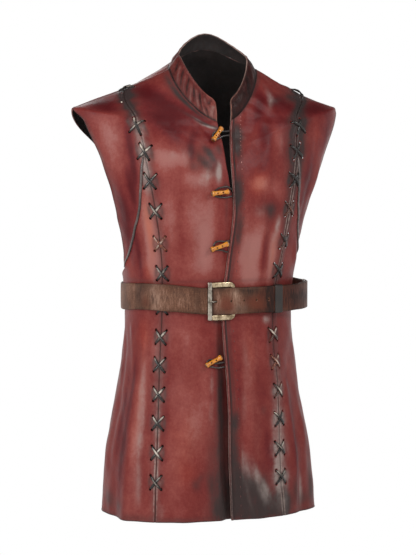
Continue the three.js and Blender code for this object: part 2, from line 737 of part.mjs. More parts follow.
// A box bent round the belt, between two distances past the toe bar and two heights from its middle line.
// out gives how far out its inner face lies at a distance.
function bentBox([from, to], [low, high], out, thickness) {
  const parts = Math.max(1, Math.round((to - from) / BUCKLE_STEP));
  return sweepGeometry(Array.from({ length: parts + 1 }, (_, k) => {
    const past = from + ((to - from) * k) / parts;
    return [[low, 0], [high, 0], [high, thickness], [low, thickness]].map(([up, d]) => (
      beltPoint(beltAngle(past), up, out(past) + d)
    ));
  }));
}

const buckleOut = (past) => TOE_OUT - (BUCKLE_TILT * past) / (overHeel - BUCKLE.heel / 2);

// The brass frame: the heel bar and the bars above and below the strap, which stop at the toe bar.
function buckleFrameGeometry() {
  const top = BUCKLE.height / 2;
  const inside = top - BUCKLE.bar;
  const start = BUCKLE.toe / 2 + SEAM_GAP;
  const bar = (span, heights) => toSolid(bentBox(span, heights, buckleOut, BUCKLE.thickness));
  let frame = bar([overHeel - BUCKLE.heel, overHeel], [-top + BUCKLE.corner, top - BUCKLE.corner]);
  for (const way of [-1, 1]) {
    const heights = [way * inside, way * top].sort((a, b) => a - b);
    frame = frame.add(bar([start, overHeel - BUCKLE.corner], heights));
    frame = frame.add(toSolid(cornerGeometry(way * (top - BUCKLE.corner))));
  }
  return fromSolid(frame);
}

function buckleBarGeometry() {
  const wide = [-BUCKLE.toe / 2, BUCKLE.toe / 2];
  const high = [-BUCKLE.height / 2, BUCKLE.height / 2];
  return bentBox(wide, high, buckleOut, BUCKLE.thickness);
}

// A rounded outer corner of the frame.
function cornerGeometry(up) {
  const centre = overHeel - BUCKLE.corner;
  const disc = (d) => ringSection(BUCKLE.corner, CORNER_SIDES).map(([along, across]) => (
    beltPoint(beltAngle(centre + along), up + across, buckleOut(centre + along) + d)
  ));
  return sweepGeometry([disc(0), disc(BUCKLE.thickness)]);
}

// The leather loop that holds the strap's end down, round both layers.
function keeperGeometry() {
  const middle = pastToe(KEEPER.angle);
  const half = BELT.width / 2 + CLEAR;
  const low = -KEEPER.clear;
  const high = beltPath[beltPath.length - 1].out + BELT.thickness + KEEPER.clear;
  const loop = (past, grow) => [
    [-half - grow, low - grow],
    [half + grow, low - grow],
    [half + grow, high + grow],
    [-half - grow, high + grow],
  ].map(([up, d]) => beltPoint(beltAngle(past), up, d));
  const pasts = [-0.5, 0, 0.5].map((share) => middle + share * KEEPER.width);
  return faceOut(wallGeometry(
    pasts.map((past) => loop(past, KEEPER.leather)),
    pasts.map((past) => loop(past, 0)),
    true,
  ));
}

function strapGeometry() {
  const start = beltAngle(overHeel + CLEAR);
  const end = 360 + BELT_TIP;
  const tipStart = end - TIP_PROFILE[TIP_PROFILE.length - 1][0];
  const angles = beltPath.map(({ along }) => 360 + beltAngle(along));
  for (let angle = BELT_STEP * Math.ceil((start + 1) / BELT_STEP); angle < tipStart; angle += BELT_STEP) {
    angles.push(angle);
  }
  const full = [start, ...angles.sort((a, b) => a - b), tipStart].map((angle) => [angle, 1]);
  const tip = TIP_PROFILE.slice(1).map(([past, share]) => [tipStart + past, share]);
  let strap = toSolid(sweepGeometry([...full, ...tip].map(([angle, share]) => {
    const half = (share * BELT.width) / 2;
    const out = strapOut(angle);
    return [[-half, out], [half, out], [half, out + BELT.thickness], [-half, out + BELT.thickness]]
      .map(([up, d]) => beltPoint(angle, up, d));
  })));
  strap = strap.subtract(toSolid(prongGeometry(PRONG.radius + PRONG.gap)));
  for (let k = 0; k < HOLES.count; k += 1) {
    const past = HOLES.first + k * HOLES.pitch;
    const out = strapOut(360 + beltAngle(past));
    const ring = (d) => ringSection(HOLES.diameter / 2, HOLES.sides).map(([along, up]) => (
      beltPoint(beltAngle(past + along), up, d)
    ));
    const drill = sweepGeometry([ring(out - HOLES.past), ring(out + BELT.thickness + HOLES.past)]);
    strap = strap.subtract(toSolid(drill));
  }
  return fromSolid(strap);
}

// ---------------------------------------------------------------- the collar
// Its front corners are rounded: a column near an edge stops short of the top.
function collarAngles(base) {
  const near = COLLAR_CORNER_SHARES.map((share) => share * COLLAR_CORNER);
  const left = near.map((past) => collar.angleAcross(COLLAR_EDGES.left + past, base));
  const right = near.map((past) => 360 + collar.angleAcross(COLLAR_EDGES.right - past, base)).reverse();
  const [from, to] = [left.pop(), right.shift()];
  const middle = Array.from({ length: COLLAR_PARTS + 1 }, (_, k) => from + ((to - from) * k) / COLLAR_PARTS);
  return [...left, ...middle, ...right];
}

function collarGeometry() {
  const grid = (sunk) => COLLAR_ROWS.map((share) => (
    collarAngles(share * COLLAR_HEIGHT).map((angle, k, all) => {
      const fromEdge = Math.min(k, all.length - 1 - k, COLLAR_CORNER_SHARES.length - 1);
      const away = 1 - COLLAR_CORNER_SHARES[fromEdge];
      const top = COLLAR_HEIGHT - COLLAR_CORNER * (1 - Math.sqrt(1 - away ** 2));
      const along = COLLAR_FOOT + (top - COLLAR_FOOT) * share;
      return collar.point(angle, along, COLLAR_BULGE * Math.sin(Math.PI * share) - sunk);
    })
  ));
  return wallGeometry(grid(0), grid(COLLAR_LEATHER));
}

const materials = {
  leather: { color: 0x7a3030, roughness: 0.5, metalness: 0 },
  collar: { color: 0x6b2d2d, roughness: 0.5, metalness: 0 },
  piping: { color: 0x4a2422, roughness: 0.5, metalness: 0 },
  thong: { color: 0x2a211e, roughness: 0.35, metalness: 0 },
  belt: { color: 0x6b4a3c, roughness: 0.6, metalness: 0 },
  keeper: { color: 0x2c2320, roughness: 0.5, metalness: 0 },
  brass: { color: 0xb9a377, roughness: 0.35, metalness: 1 },
  steel: { color: 0x8f8d86, roughness: 0.35, metalness: 1 },
  horn: { color: 0xc98b34, roughness: 0.35, metalness: 0 },
};

const vest = new THREE.Group();

function add(name, geometry, look) {
  geometry.computeVertexNormals();
  const mesh = new THREE.Mesh(geometry, new THREE.MeshStandardMaterial(materials[look]));
  mesh.name = name;
  vest.add(mesh);
  return mesh;
}

// A long panel is in two lengths, a skirt and a bodice, which meet at the waist under the belt.
function addLong(name, top, shape) {
  add(name, panelGeometry({ rows: bodiceRows(top), ...shape }), 'leather');
  add(`skirt_${name}`, panelGeometry({ rows: skirtRows, ...shape }), 'leather');
}

// ---- fronts
addLong('front_right', NECK, {
  start: (along) => laceAngle(-1, along),
  end: (along) => body.angleAcross(seam.edgeRight(along), along),
  offset: rollIn,
  stations: rightFrontStations,
});
addLong('front_left', NECK, {
  start: (along) => body.angleAcross(seam.edgeLeft(along), along),
  end: (along) => laceAngle(1, along),
  parts: LEFT_PARTS,
});

// ---- sides and wings
for (const [hand, side] of [['right', -1], ['left', 1]]) {
  addLong(`side_${hand}`, WING_POINT, {
    start: (along) => laceAngle(side, along),
    end: (along) => sideEnd(side, along),
    parts: SIDE_PARTS,
  });
  add(`wing_${hand}`, panelGeometry({
    rows: rowsBetween(WING_FOOT, SHOULDER_LACE[hand]),
    start: (along) => pipeAngle(side, along),
    end: (along) => armholeFront(side, along),
    parts: WING_PARTS,
  }), 'leather');
}

// ---- back
addLong('back', NECK, {
  start: backStart,
  end: (along) => 360 - backStart(along),
  parts: BACK_PARTS,
});

// ---- collar
add('collar', collarGeometry(), 'collar');

// ---- piping
for (const [hand, side] of [['right', -1], ['left', 1]]) {
  const heights = rowsBetween(WING_FOOT, PIPING.end);
  const route = heights.map((along) => [pipeAngle(side, along), along, PIPING.clear]);
  const section = ribSection(PIPING.width, PIPING.top, PIPING.height);
  add(`piping_${hand}`, laidGeometry(body, route, section), 'piping');
}

// ---- lacing
for (const [hand, side] of [['right', -1], ['left', 1]]) {
  const top = { ...TOP_LACE, along: SHOULDER_LACE[hand] - TOP_LACE.below };
  [...readRows(LACE_COLUMNS, LACES), top].forEach((lace, k) => {
    add(`lace_${hand}_${k + 1}`, crossGeometry(side, lace), 'thong');
  });
}

// ---- toggles
readRows(TOGGLE_COLUMNS, TOGGLES).forEach((toggle, k) => {
  const { angle, along, lengthways, outward } = toggleSeat(toggle);
  const mesh = add(`toggle_${k + 1}`, toggleGeometry(toggle.length), 'horn');
  mesh.position.copy(body.point(angle, along, TOGGLE_OUT));
  const frame = new THREE.Matrix4().makeBasis(lengthways, outward.clone().cross(lengthways), outward);
  mesh.quaternion.setFromRotationMatrix(frame);
  add(`toggle_tie_${k + 1}`, tieGeometry(toggle), 'thong');
  add(`toggle_loop_${k + 1}`, loopGeometry(toggle, LOOPS[k]), 'thong');
});

// ---- belt
add('belt', strapGeometry(), 'belt');
add('belt_keeper', keeperGeometry(), 'keeper');
add('buckle_frame', buckleFrameGeometry(), 'brass');
add('buckle_bar', buckleBarGeometry(), 'steel');
add('buckle_prong', prongGeometry(PRONG.radius), 'steel');

export default vest;
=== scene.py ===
import math
from functools import partial

import bpy
import numpy as np
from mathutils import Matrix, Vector


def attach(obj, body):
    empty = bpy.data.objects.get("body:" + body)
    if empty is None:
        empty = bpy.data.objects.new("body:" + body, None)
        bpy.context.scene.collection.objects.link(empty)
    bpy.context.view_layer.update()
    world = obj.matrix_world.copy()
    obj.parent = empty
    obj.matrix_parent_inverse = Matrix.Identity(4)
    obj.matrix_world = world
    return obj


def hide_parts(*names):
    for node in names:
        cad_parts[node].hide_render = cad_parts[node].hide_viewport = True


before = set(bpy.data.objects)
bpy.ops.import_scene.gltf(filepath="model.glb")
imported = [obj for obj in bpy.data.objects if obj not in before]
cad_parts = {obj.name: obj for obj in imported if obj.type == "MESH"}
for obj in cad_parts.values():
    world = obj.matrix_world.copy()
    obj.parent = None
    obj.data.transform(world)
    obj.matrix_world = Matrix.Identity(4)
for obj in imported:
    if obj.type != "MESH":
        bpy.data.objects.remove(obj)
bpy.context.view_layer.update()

MM = 0.001
HANDS = {-1: "right", 1: "left"}  # the wearer's
LEATHER = 2.0  # thickness
EDGE_BULGE = 0.45
SEAM_GAP = 0.3  # between two panels
MAX_SLANT = 6  # of an edge, where its gap is worked out
NECK = 930  # how far along the neck's edge is
BACK_RISE = 1.3  # how the rings rise towards the back

# ---- the form, as the model has it
# Distances along run up the leather from the hem. Angles are in degrees, from the middle of the front to the
# wearer's left.
RING_COLUMNS = [
    "along", "z_front", "z_side", "z_back", "half_width", "y_front", "y_side", "y_back", "power",
    "rise_right", "rise_left",
]
RINGS = [
    [0, -846, -850, -846, 206, -152, 0, 158, 2.25, 2, 2],
    [110, -738, -738, -736, 199, -147, 0, 150, 2.2, 2, 2],
    [235, -614, -612, -608, 176, -137, 0, 140, 2.2, 2, 2],
    [340, -512, -508, -504, 163, -127, 0, 126, 2.25, 2, 2],
    [400, -450, -448, -446, 162, -118, 0, 112, 2.3, 2, 2],
    [490, -360, -362, -362, 170, -126, 0, 118, 2.4, 2, 2],
    [600, -262, -262, -262, 195, -135, 2, 128, 2.4, 2, 2],
    [690, -190, -172, -168, 228, -132, 8, 124, 2.3, 2, 2],
    [760, -150, -83, -82, 262, -116, 20, 112, 2.1, 2, 2],
    [768, -146.5, -76, -72, 260, -114.5, 19.5, 110, 2.1, 2, 2],
    [776, -143.5, -72.7, -64, 251, -113, 18.5, 107, 2.1, 2, 2],
    [845, -124, -44, -8, 172, -104, 4, 80, 2.0, 1.8, 1.9],
    [930, -101, -2, 36, 85, -99, -28, 32, 2.0, 1, 1.4],
]
COLLAR_RINGS = [
    [0, -101, -2, 36, 85, -99, -28, 32, 2.0, 1, 1.4],
    [20, -82, 12, 52, 74, -98, -29, 27, 2.0, 1.2, 1.5],
    [40, -62, 23, 66, 66, -92, -30, 18, 2.0, 1.4, 1.6],
]
COLLAR = {"height": 40, "leather": 2.6, "corner": 9, "left": 14.4, "right": -12.6, "bulge": 1.5, "edge": 0.6}
SEAM_COLUMNS = ["along", "lace_right", "lace_left", "edge_left", "roll", "edge_right", "sink"]
SEAMS = [
    [0, 49.7, 39.5, -1, -22, 12, 15],
    [110, 50.1, 38.4, -4, -25, 10, 15],
    [235, 51.6, 42.0, -3, -26, 10, 14],
    [340, 52.6, 41.9, -9, -24, 4, 8],
    [400, 52.7, 44.5, -9, -20, 3, 3.2],
    [490, 50.6, 46.6, -1, -13, 11, 3.2],
    [600, 50.8, 48.1, 8, -2, 18, 3.4],
    [645, 51.8, 49.2, 6.5, -2.6, 3, 3.2],
    [690, 53.0, 50.4, 5, -3.2, -3, 0],
    [760, 57.3, 53.6, 8, -5.2, -5, 0],
    [845, 90, 90, 11, -8.2, -8, 0],
    [930, 90, 90, 14, -12.2, -12, 0],
]
ROLL_END = 2  # how far inside the left edge the roll of the right front ends
LACE_TURN = 760  # where the laced seams turn out to the shoulders
LACE_BEND = {-1: 1.8, 1: 2.6}
ARMHOLE_COLUMNS = ["along", "front", "pipe_right", "pipe_left", "back"]
ARMHOLE = [
    [452, 106, 106, 106, 106],
    [462, 97, 97, 97, 110],
    [473, 89, 88.5, 88.5, 113],
    [490, 86, 81.5, 78, 115.5],
    [520, 84, 73, 67, 118],
    [560, 82.5, 66.3, 60, 119.5],
    [600, 80.5, 60.6, 56, 119.5],
    [645, 78.5, 57.4, 53.6, 118],
    [690, 78, 55.3, 51.8, 112.5],
    [711, 78, 54.0, 51.2, 106.5],
    [735, 78.8, 55, 52, 98],
    [752, 81, 56, 53, 94],
    [768, 89.9, 57, 54, 90.1],
]
UNDERARM = 452
WING_FOOT = 473
WING_POINT = 711
SHOULDER_TIP = 768
SHOULDER_LACE = {-1: 856, 1: 840}
SHOULDER = 90
SIDE_SEAM = 106
FOLD_COLUMNS = ["angle", "half_width", "out", "top"]
FOLDS = [
    [-96, 10, 3, 380], [-79, 8, -5, 330], [-67, 7, 6, 360], [-30, 10, 4, 300], [20, 9, 4, 260],
    [57, 7, -5, 320], [70, 9, 5, 380], [92, 10, -5, 340], [122, 12, 7, 380], [147, 11, -5, 330],
    [168, 11, 6, 360], [192, 12, -5, 340], [214, 11, 7, 370], [236, 10, -5, 330],
]
PIPING = {"width": 4.8, "height": 3.0, "sunk": 0.3, "end": 704}
LACE_COLUMNS = ["along", "width", "height", "lift_right", "lift_left"]
LACES = [
    [75, 21, 26, 0, 0], [130, 21, 26, 0, 0], [185, 21, 26, 0, 0], [239, 21, 26, 0, 0], [295, 21, 26, 0, 0],
    [347, 21, 26, 0, 0], [403, 21, 26, 0, 0], [468, 22, 27, 0, 0], [529, 22, 27, 0, 0], [597, 22, 27, 0, 0],
    [658, 22, 27, 0, 1.8], [712, 22, 28, 0, 0], [757, 22, 28, 0, 0],
]
TOP_LACE = {"below": 2, "width": 22, "height": 28, "lift_right": 0.5, "lift_left": 0.5}
LACE_HOLE = {"radius": 2.6, "depth": 7.0}
# A strand from hole to hole: its share of the half-length, how far out its middle is and its width.
STRAND_COLUMNS = ["share", "out", "width"]
STRAND = [
    [-1, -3.2, 3.2], [-0.95, -1.6, 3.4], [-0.87, 0.3, 3.8], [-0.74, 1.6, 4.6], [-0.5, 2.2, 5.2],
    [-0.25, 2.4, 5.2], [0, 2.5, 5.0], [0.25, 2.4, 5.2], [0.5, 2.2, 5.2], [0.74, 1.6, 4.6], [0.87, 0.3, 3.8],
    [0.95, -1.6, 3.4], [1, -3.2, 3.2],
]
THONG_THICK = 2.2
THONG_TIP = [[-3.0, 3.4], [-1.0, 3.4], [0.6, 3.2], [1.2, 2.4], [1.5, 0.9]]  # out and width
THONG_OVER = 2.3  # how much the upper strand rises over the lower one
INSIDE = {"out": -3.6, "width": 5.6, "thick": 1.6, "past": 0.1}  # the thong's runs behind the leather
# Crosses with a worn, reddish thong and crosses with a fainter highlight painted on the thong, counted from
# the hem up.
RED_CROSSES = {
    (-1, 7): 0.2, (-1, 8): 0.2, (-1, 9): 0.85,
    (1, 3): 0.35, (1, 4): 0.5, (1, 5): 0.85, (1, 6): 0.6, (1, 8): 0.4, (1, 9): 0.4, (1, 10): 0.45,
}
FAINT_HIGHLIGHT_CROSSES = {
    (1, 8): 0.6, (1, 9): 0.5, (1, 10): 0.4, (1, 11): 0.3, (1, 12): 0.35, (1, 13): 0.3, (1, 14): 0.4,
}
# The thong's end that shows in its hole carries a painted glint.
SHOULDER_END = {"cross": (-1, 14), "angle": -73, "along": 816}  # where the thong's end shows
TOGGLE_COLUMNS = ["along", "across", "tilt", "length", "tie_at", "tie_half"]
TOGGLES = [
    [304.8, -30.2, 28.6, 36, -5.2, 0.8],
    [521.9, -19.2, 18.2, 38, 0, 5],
    [637.1, -19.9, 6.2, 36, 0, 5],
    [830.3, -16.5, 61.5, 34, 0, 2.5],
]
# A toggle's outline: share of the half-length, radius.
TOGGLE_PROFILE = [
    [-1, 0.5], [-0.995, 3.2], [-0.97, 4.1], [-0.92, 4.5], [-0.82, 4.9], [-0.72, 4.8], [-0.62, 4.2],
    [-0.5, 3.7], [-0.3, 3.6], [0, 3.75], [0.3, 3.6], [0.5, 3.65], [0.62, 4.1], [0.72, 4.7], [0.82, 4.9],
    [0.92, 4.6], [0.97, 4.1], [0.995, 3.2], [1, 0.5],
]
TOGGLE_OUT = 8.7
# How a toggle is out of round: how much, waves round it, and their shift to the next toggle and along it.
TOGGLE_UNEVEN = [[0.05, 2, 1, 2], [0.03, 5, 3, 5]]
TOGGLE_BROWN = {"from": 0.72, "ends": 0.85, "holes": 0.5, "hole_half": 2.8, "depth": 4}
TOGGLE_HOLES = {"apart": 10.3, "diameter": 3.2, "depth": 9}
TIE = {"width": 2.5, "rise": 1.5, "most_half": 3.0, "knot_out": 2.0, "knot_size": 2.0, "knot_turns": 3}
TIE_OUTS = [-1.0, 0.8, 2.6, 4.4]
LOOP = {"width": 3.0, "out": 2, "sunk": -0.3, "sink_length": 6, "end_gap": 1.05}
LOOP_KNOT = {"loop": 3, "stop": -3, "out": 0.8, "size": 1.5, "turns": 2}
KNOT_CORD = [2.4, 2.2]
LOOPS = [
    [
        [22, -2.2], [11, -3.6], [3, -3.6], [0.4, 1], [-4.5, 3.4], [-10.2, 0.4],
        [-10, -5.4], [-5, -9.6], [1, -10.9], [9, -12.4], [22, -10.9],
    ],
    [
        [19, 9.4], [10, 8.6], [0.4, 9.4], [-6.4, 7], [-9.6, 0.5],
        [-7, -6.4], [0, -7.4], [6.7, -8], [14.5, -11], [19, -11.6],
    ],
    [
        [23, 4.8], [16.5, 10.6], [5, 9.8], [-4, 6.6], [-9.4, 0.4],
        [-6, -6.8], [3.2, -8.4], [12.9, -9.2], [24, -6.8],
    ],
    [[25, 10.4], [12, 9.6], [2, 9], [-5.5, 4], [-6.6, -3], [-2, -8], [6, -5], [14, 0.5], [25, 2.4]],
]
BELT = {"middle": -434.5, "width": 50, "thickness": 3.5, "clear": 0.45}
BELT_OVER = [384, 392, 404, 418, 430, 444, 450]  # how far along the leather that it lies on is
BELT_TIP = 97
BELT_TIP_LENGTH = 10  # degrees
BELT_LIFT_COLUMNS = ["angle", "half_width", "out"]
BELT_LIFTS = [[-52.7, 13, 4.4], [44.5, 13, 6], [88, 66, 22]]
BELT_RISE = {"angle": -58, "half_width": 46, "up": 8}
STRAP_CORNER = 1.6
STRAP_CUP = {"out": 0.35, "until": 340}  # its middle stands out round the waist, up to this angle
STRAP_GAP = 0.35  # between the buckle's heel and the strap's start
STRAP_TIP_SHARE = 0.04  # how wide the very tip is
STRAP_NEXT_TURN = 300  # the angle from which its edges wave as the second turn's
STRAP_MARKED_FROM = -150  # from here past the toe bar the second turn carries the marks
EDGE_WAVES = [[0.35, 17, 0], [0.25, 6.3, 1], [0.2, 41, 2]]  # out, length and phase
EDGE_SHARE = 0.8
TOE_ANGLE = -15.8
BUCKLE = {"toe": 8, "length": 52.6, "height": 71.5, "bar": 10, "heel": 7, "thickness": 3.4, "corner": 6.5}
BUCKLE_TILT = 2.55
TOE_OUT = 3.85
BELT_PATH = [[4.5, 0], [15, 5.05], [48, 5.05], [62, 3.85]]  # distance past the toe bar, distance out
FRAME_ENDS = [0.72, 0.93]  # how full the brass bar is at its last two sections
TOE_END = 1.2  # length of its rounding
PRONG_RADIUS = 1.6
PRONG_SLIT = 0.5
PRONG_PATH = [[41.2, 2.6], [30, 2.6], [19, 2.9], [11, 6.2], [5, 9.1], [0, 9.6], [-3.8, 9.2]]
BELT_HOLES = {"first": 40, "pitch": 25.5, "count": 4, "diameter": 3.2}
KEEPER = {"angle": 43.2, "width": 16, "leather": 1.6, "clear": 0.7, "side": 0.35, "corner": 2.2, "step": 4}

# ---- creases and wear
# A crease runs from one point of the leather to another; half is its half-width and out its height,
# negative for a trough.
CREASE_COLUMNS = ["angle", "along", "to_angle", "to_along", "half", "out"]
CREASES = [
    # wings and sides of the wearer's right
    [-59.5, 740, -64, 585, 11, -2.4], [-66, 735, -73, 560, 13, 2.2], [-75, 700, -80, 590, 9, -1.4],
    [-61, 575, -69, 455, 9, -2.6], [-57, 560, -60, 455, 8, 1.6], [-78, 520, -86, 455, 9, 2.0],
    [-92, 455, -99, 380, 9, -2.0],
    # right front
    [-49, 870, -34, 742, 24, 1.2], [-40, 790, -22, 715, 14, -1.6], [-46, 640, -44, 470, 12, 1.5],
    [-37, 600, -38, 465, 12, -1.3], [-28, 640, -30, 470, 15, 1.4], [-21, 560, -22, 470, 9, -1.0],
    [-15, 700, -20, 640, 10, 1.6], [-46, 372, -45, 300, 8, 1.8], [-39, 370, -36, 312, 8, -1.4],
    [-25, 368, -22, 300, 9, 1.2], [-33, 220, -31, 60, 20, 1.8], [-44, 260, -44, 40, 11, -1.4],
    # left front
    [68, 918, 53, 812, 9, 1.5], [60, 922, 47, 800, 9, -1.4], [52, 925, 41, 735, 10, 1.8],
    [45, 926, 37, 640, 10, -1.6], [38, 925, 31, 650, 11, 1.4], [30, 900, 25, 690, 11, -1.0],
    [84, 900, 86, 850, 8, 2.2], [31, 625, 41, 445, 8, -3.2], [40, 600, 47, 455, 7, 3.0],
    [24, 590, 32, 450, 10, 2.2], [17, 560, 22, 470, 8, -1.5], [36, 372, 33, 290, 7, 1.8],
    [29, 370, 26, 262, 8, -1.6], [14, 330, 15, 130, 11, 2.0], [27, 310, 20, 80, 13, -1.6],
    [9, 200, 9, 20, 8, -1.0],
    # wing and side of the wearer's left
    [62, 735, 64, 560, 9, -1.8], [70, 730, 72, 590, 9, 1.8], [60, 540, 72, 450, 9, 2.4],
    [74, 500, 86, 430, 9, -2.2], [52, 250, 50, 20, 7, 2.4], [64, 240, 61, 30, 9, 2.0],
    # skirt of the wearer's right side
    [-92, 350, -84, 60, 9, -2.2], [-71, 340, -60, 36, 8, -2.6], [-57, 300, -55, 40, 7, 2.2],
    [-79, 372, -77, 300, 8, 2.0], [-66, 372, -64, 310, 7, -1.8],
    # back: between the shoulders, over the belt and down the skirt
    [128, 880, 140, 720, 16, 3.0], [232, 884, 219, 725, 16, 2.8], [146, 760, 160, 560, 14, -2.6],
    [214, 752, 201, 575, 14, -2.4], [121, 700, 126, 540, 10, -2.2], [239, 690, 234, 545, 10, -2.2],
    [133, 520, 131, 452, 9, 3.0], [151, 540, 149, 455, 10, -2.6], [168, 500, 167, 450, 9, 2.6],
    [186, 545, 185, 452, 10, -2.6], [203, 510, 204, 455, 9, 2.8], [224, 525, 226, 452, 10, -2.4],
    [116, 470, 138, 600, 9, 2.4], [244, 470, 222, 590, 9, 2.2], [140, 378, 138, 290, 9, 2.6],
    [158, 380, 158, 270, 9, -2.4], [177, 378, 179, 300, 8, 2.4], [199, 380, 200, 280, 9, -2.2],
    [221, 378, 223, 290, 8, 2.4], [166, 905, 194, 903, 9, -1.8], [112, 380, 112, 260, 9, -2.2],
    [250, 380, 250, 270, 9, -2.0],
]
# Slow waves that keep the leather from lying dead smooth.
RIPPLE_COLUMNS = ["turns", "wavelength", "out", "phase"]
RIPPLES = [
    [5, 330, 0.8, 40], [8, -250, 0.6, 200], [11, 170, 0.45, 110], [14, -120, 0.35, 300], [19, 88, 0.25, 20],
    [23, -66, 0.2, 160], [31, 52, 0.14, 75],
]
MOST_RELIEF = 4.0
CALM = {"along": 417, "half_width": 36, "fade": 34}  # the leather lies flat under the belt
# How a crease wanders and swells along its length, as shares of its half-width and height.
CREASE_LINE = {"wander": 0.35, "wander_turn": 5, "end": 0.45, "swell": 0.25, "swell_turn": 9}
# How an edge of a panel is shaped and marked: at is the distance from the edge. The dark line at a laced
# edge is painted shade in the seam's gap. On the rim the pale line is a highlight painted on the bead's
# crest, and the dark lines at its edge and in its groove are stain with painted shade.
EDGE_COLUMNS = ["at", "half", "out", "stain", "rim"]
EDGES = {
    "laced": [[0, 1.7, -1.0, 1.1, 0], [2.6, 1.8, 0.8, 0, 0], [6.5, 5, 0.6, 0.25, 0]],
    "rim": [[2.6, 3.4, 2.0, 0, 0], [2.2, 1.2, 0, 0, 0.6], [0, 1.4, 0, 1.0, 0], [6.6, 3.2, -1.5, 1.1, 0],
            [12, 8, 0, 0.5, 0]],
    "plain": [[1.0, 1.6, 0.5, 0, 0], [0, 3.2, 0, 0.85, 0], [5, 9, 0, 0.45, 0]],
    "seam": [[0, 2.4, -0.9, 0.9, 0], [4.5, 4, 0.5, 0, 0]],
    "under": [],
}
# Soft marks on the leather: the angle and distance along of the middle, the half-sizes round and along, the
# strength, and the lean in degrees where a mark leans.
MARK_COLUMNS = ["angle", "along", "around", "up", "strength", "lean"]
STAINS_AND_SHADE = [
    # right front: smoke below the deep red, the neck, the hem, and the lap: stain with painted shade
    [-18, 708, 13, 30, 0.95, 30], [-13, 730, 8, 30, 0.9, 20], [-26, 694, 12, 16, 0.4, 40],
    [-16, 744, 16, 14, 0.4], [-6, 756, 7, 24, 0.7], [-27, 735, 7, 40, 0.2], [-23, 882, 34, 11, 1.0, 12],
    [-44, 916, 34, 9, 1.0], [-70, 922, 40, 8, 0.8], [-8, 868, 8, 20, 0.6], [-3, 650, 5, 14, 0.6],
    [-2, 600, 4, 40, 0.45], [-9, 380, 14, 8, 0.6], [-7, 330, 8, 40, 0.6], [-6, 250, 10, 60, 0.85],
    [-6.5, 160, 13, 76, 0.85], [-7, 50, 15, 70, 0.85], [-15, 130, 12, 44, 0.35], [-15, 68, 11, 30, 0.6, 8],
    [-13, 22, 22, 24, 0.4], [-25, 70, 8, 12, 0.6, 20], [-22, 84, 6, 9, 0.45, -20], [-30, 4, 60, 7, 0.4],
    # shoulders
    [-91, 846, 26, 14, 1.0], [-77, 838, 19, 17, 0.95, 25], [-67, 812, 11, 22, 0.8], [-61, 788, 9, 16, 0.55],
    [-74, 816, 8, 8, 0.6], [86, 836, 24, 18, 1.1], [71, 836, 24, 22, 1.1, -25], [58, 862, 14, 12, 0.5, -25],
    # left front: beside the rim, the blot, the skirt
    [15, 880, 8, 36, 0.8], [12, 826, 12, 42, 1.5], [9, 755, 9, 44, 1.2], [7, 648, 11, 38, 1.1],
    [6.5, 618, 8, 24, 0.6], [9, 562, 9, 34, 0.95], [8.6, 532, 6, 18, 0.45], [34, 592, 11, 22, 0.75, 5],
    [29, 600, 20, 12, 0.35], [5, 190, 11, 20, 0.75], [3, 150, 9, 54, 0.75], [3, 96, 13, 46, 0.7],
    [8, 58, 26, 38, 1.25, -12], [18, 46, 26, 32, 1.0, -24], [23, 62, 10, 26, 0.35, -26],
    [14, 14, 50, 22, 1.2], [32, 26, 34, 26, 1.0], [28, 205, 8, 10, 0.4], [39, 60, 9, 34, 0.45],
    [42, 22, 16, 22, 0.6],
    # left side panel and wings
    [50, 50, 8, 20, 0.7], [58, 24, 22, 16, 0.7], [67, 50, 11, 50, 0.8], [76, 60, 9, 50, 0.7],
    [84, 30, 30, 30, 0.6], [96, 760, 12, 40, 0.35], [-76, 634, 9, 22, 0.45], [-79, 700, 4, 70, 0.4],
    # right side panel
    [-86, 30, 20, 20, 0.75], [-75, 22, 16, 14, 0.6], [-98, 90, 10, 110, 0.6], [-100, 200, 8, 100, 0.45],
    [-62, 6, 36, 8, 0.5],
    # painted shade along the belt's edge, and marks on the back
    [-30, 452, 400, 3.5, 0.35], [150, 380, 60, 16, 0.3], [210, 380, 60, 16, 0.3], [180, 20, 70, 16, 0.6],
    [140, 30, 40, 26, 0.55], [222, 26, 40, 22, 0.55], [172, 470, 60, 16, 0.3], [150, 850, 30, 12, 0.4],
    [205, 855, 30, 12, 0.4], [185, 700, 8, 30, 0.35, 10],
]
# Rubbed, greyer places; the marks on the right front's chest beside its edge are a painted sheen.
WORN_AND_SHEEN = [
    [-14, 878, 10, 9, 0.9, 25], [-22, 872, 16, 6, 0.7, 20], [-30, 884, 14, 5, 0.5, 14],
    [-17, 676, 12, 16, 0.75, -20], [-8, 680, 6, 22, 1.0], [-7, 700, 4, 24, 0.7], [-30, 722, 14, 12, 0.35],
    [-39, 714, 11, 12, 0.35], [-22, 655, 16, 14, 0.35], [-54, 708, 6, 40, 0.9, 4], [-54, 660, 7, 26, 0.9],
    [-66, 730, 10, 30, 0.25], [-77, 700, 6, 40, 0.4], [58, 878, 7, 34, 0.75, -35], [41, 735, 5, 34, 0.25],
    [40, 570, 5, 16, 0.6], [38, 520, 5, 50, 0.35], [22, 500, 16, 40, 0.25], [25, 594, 12, 16, 0.5],
    [40, 556, 6, 20, 0.4], [-14, 258, 5, 34, 0.5], [-14.5, 205, 5, 22, 0.5], [-29, 150, 10, 60, 0.15],
    [-64, 240, 7, 60, 0.55], [-61.5, 150, 8, 80, 0.6], [-60, 60, 7, 40, 0.4], [-46, 20, 6, 14, 0.4],
    [37, 376, 9, 8, 0.9], [15, 300, 8, 40, 0.3], [12, 220, 6, 40, 0.35], [20, 78, 8, 34, 0.95, 15],
    [12, 100, 9, 34, 0.6, 8], [27, 40, 14, 22, 0.5, 20], [26, 60, 6, 20, 0.5, 20], [13, 44, 4, 34, 0.3, 12],
    [36, 70, 4, 40, 0.35, 8], [9, 110, 3, 40, 0.3], [57, 44, 6, 30, 1.1], [36, 130, 7, 90, 0.3],
    [140, 890, 20, 12, 0.4], [222, 888, 20, 12, 0.4], [168, 250, 14, 90, 0.3], [206, 610, 18, 50, 0.25],
]
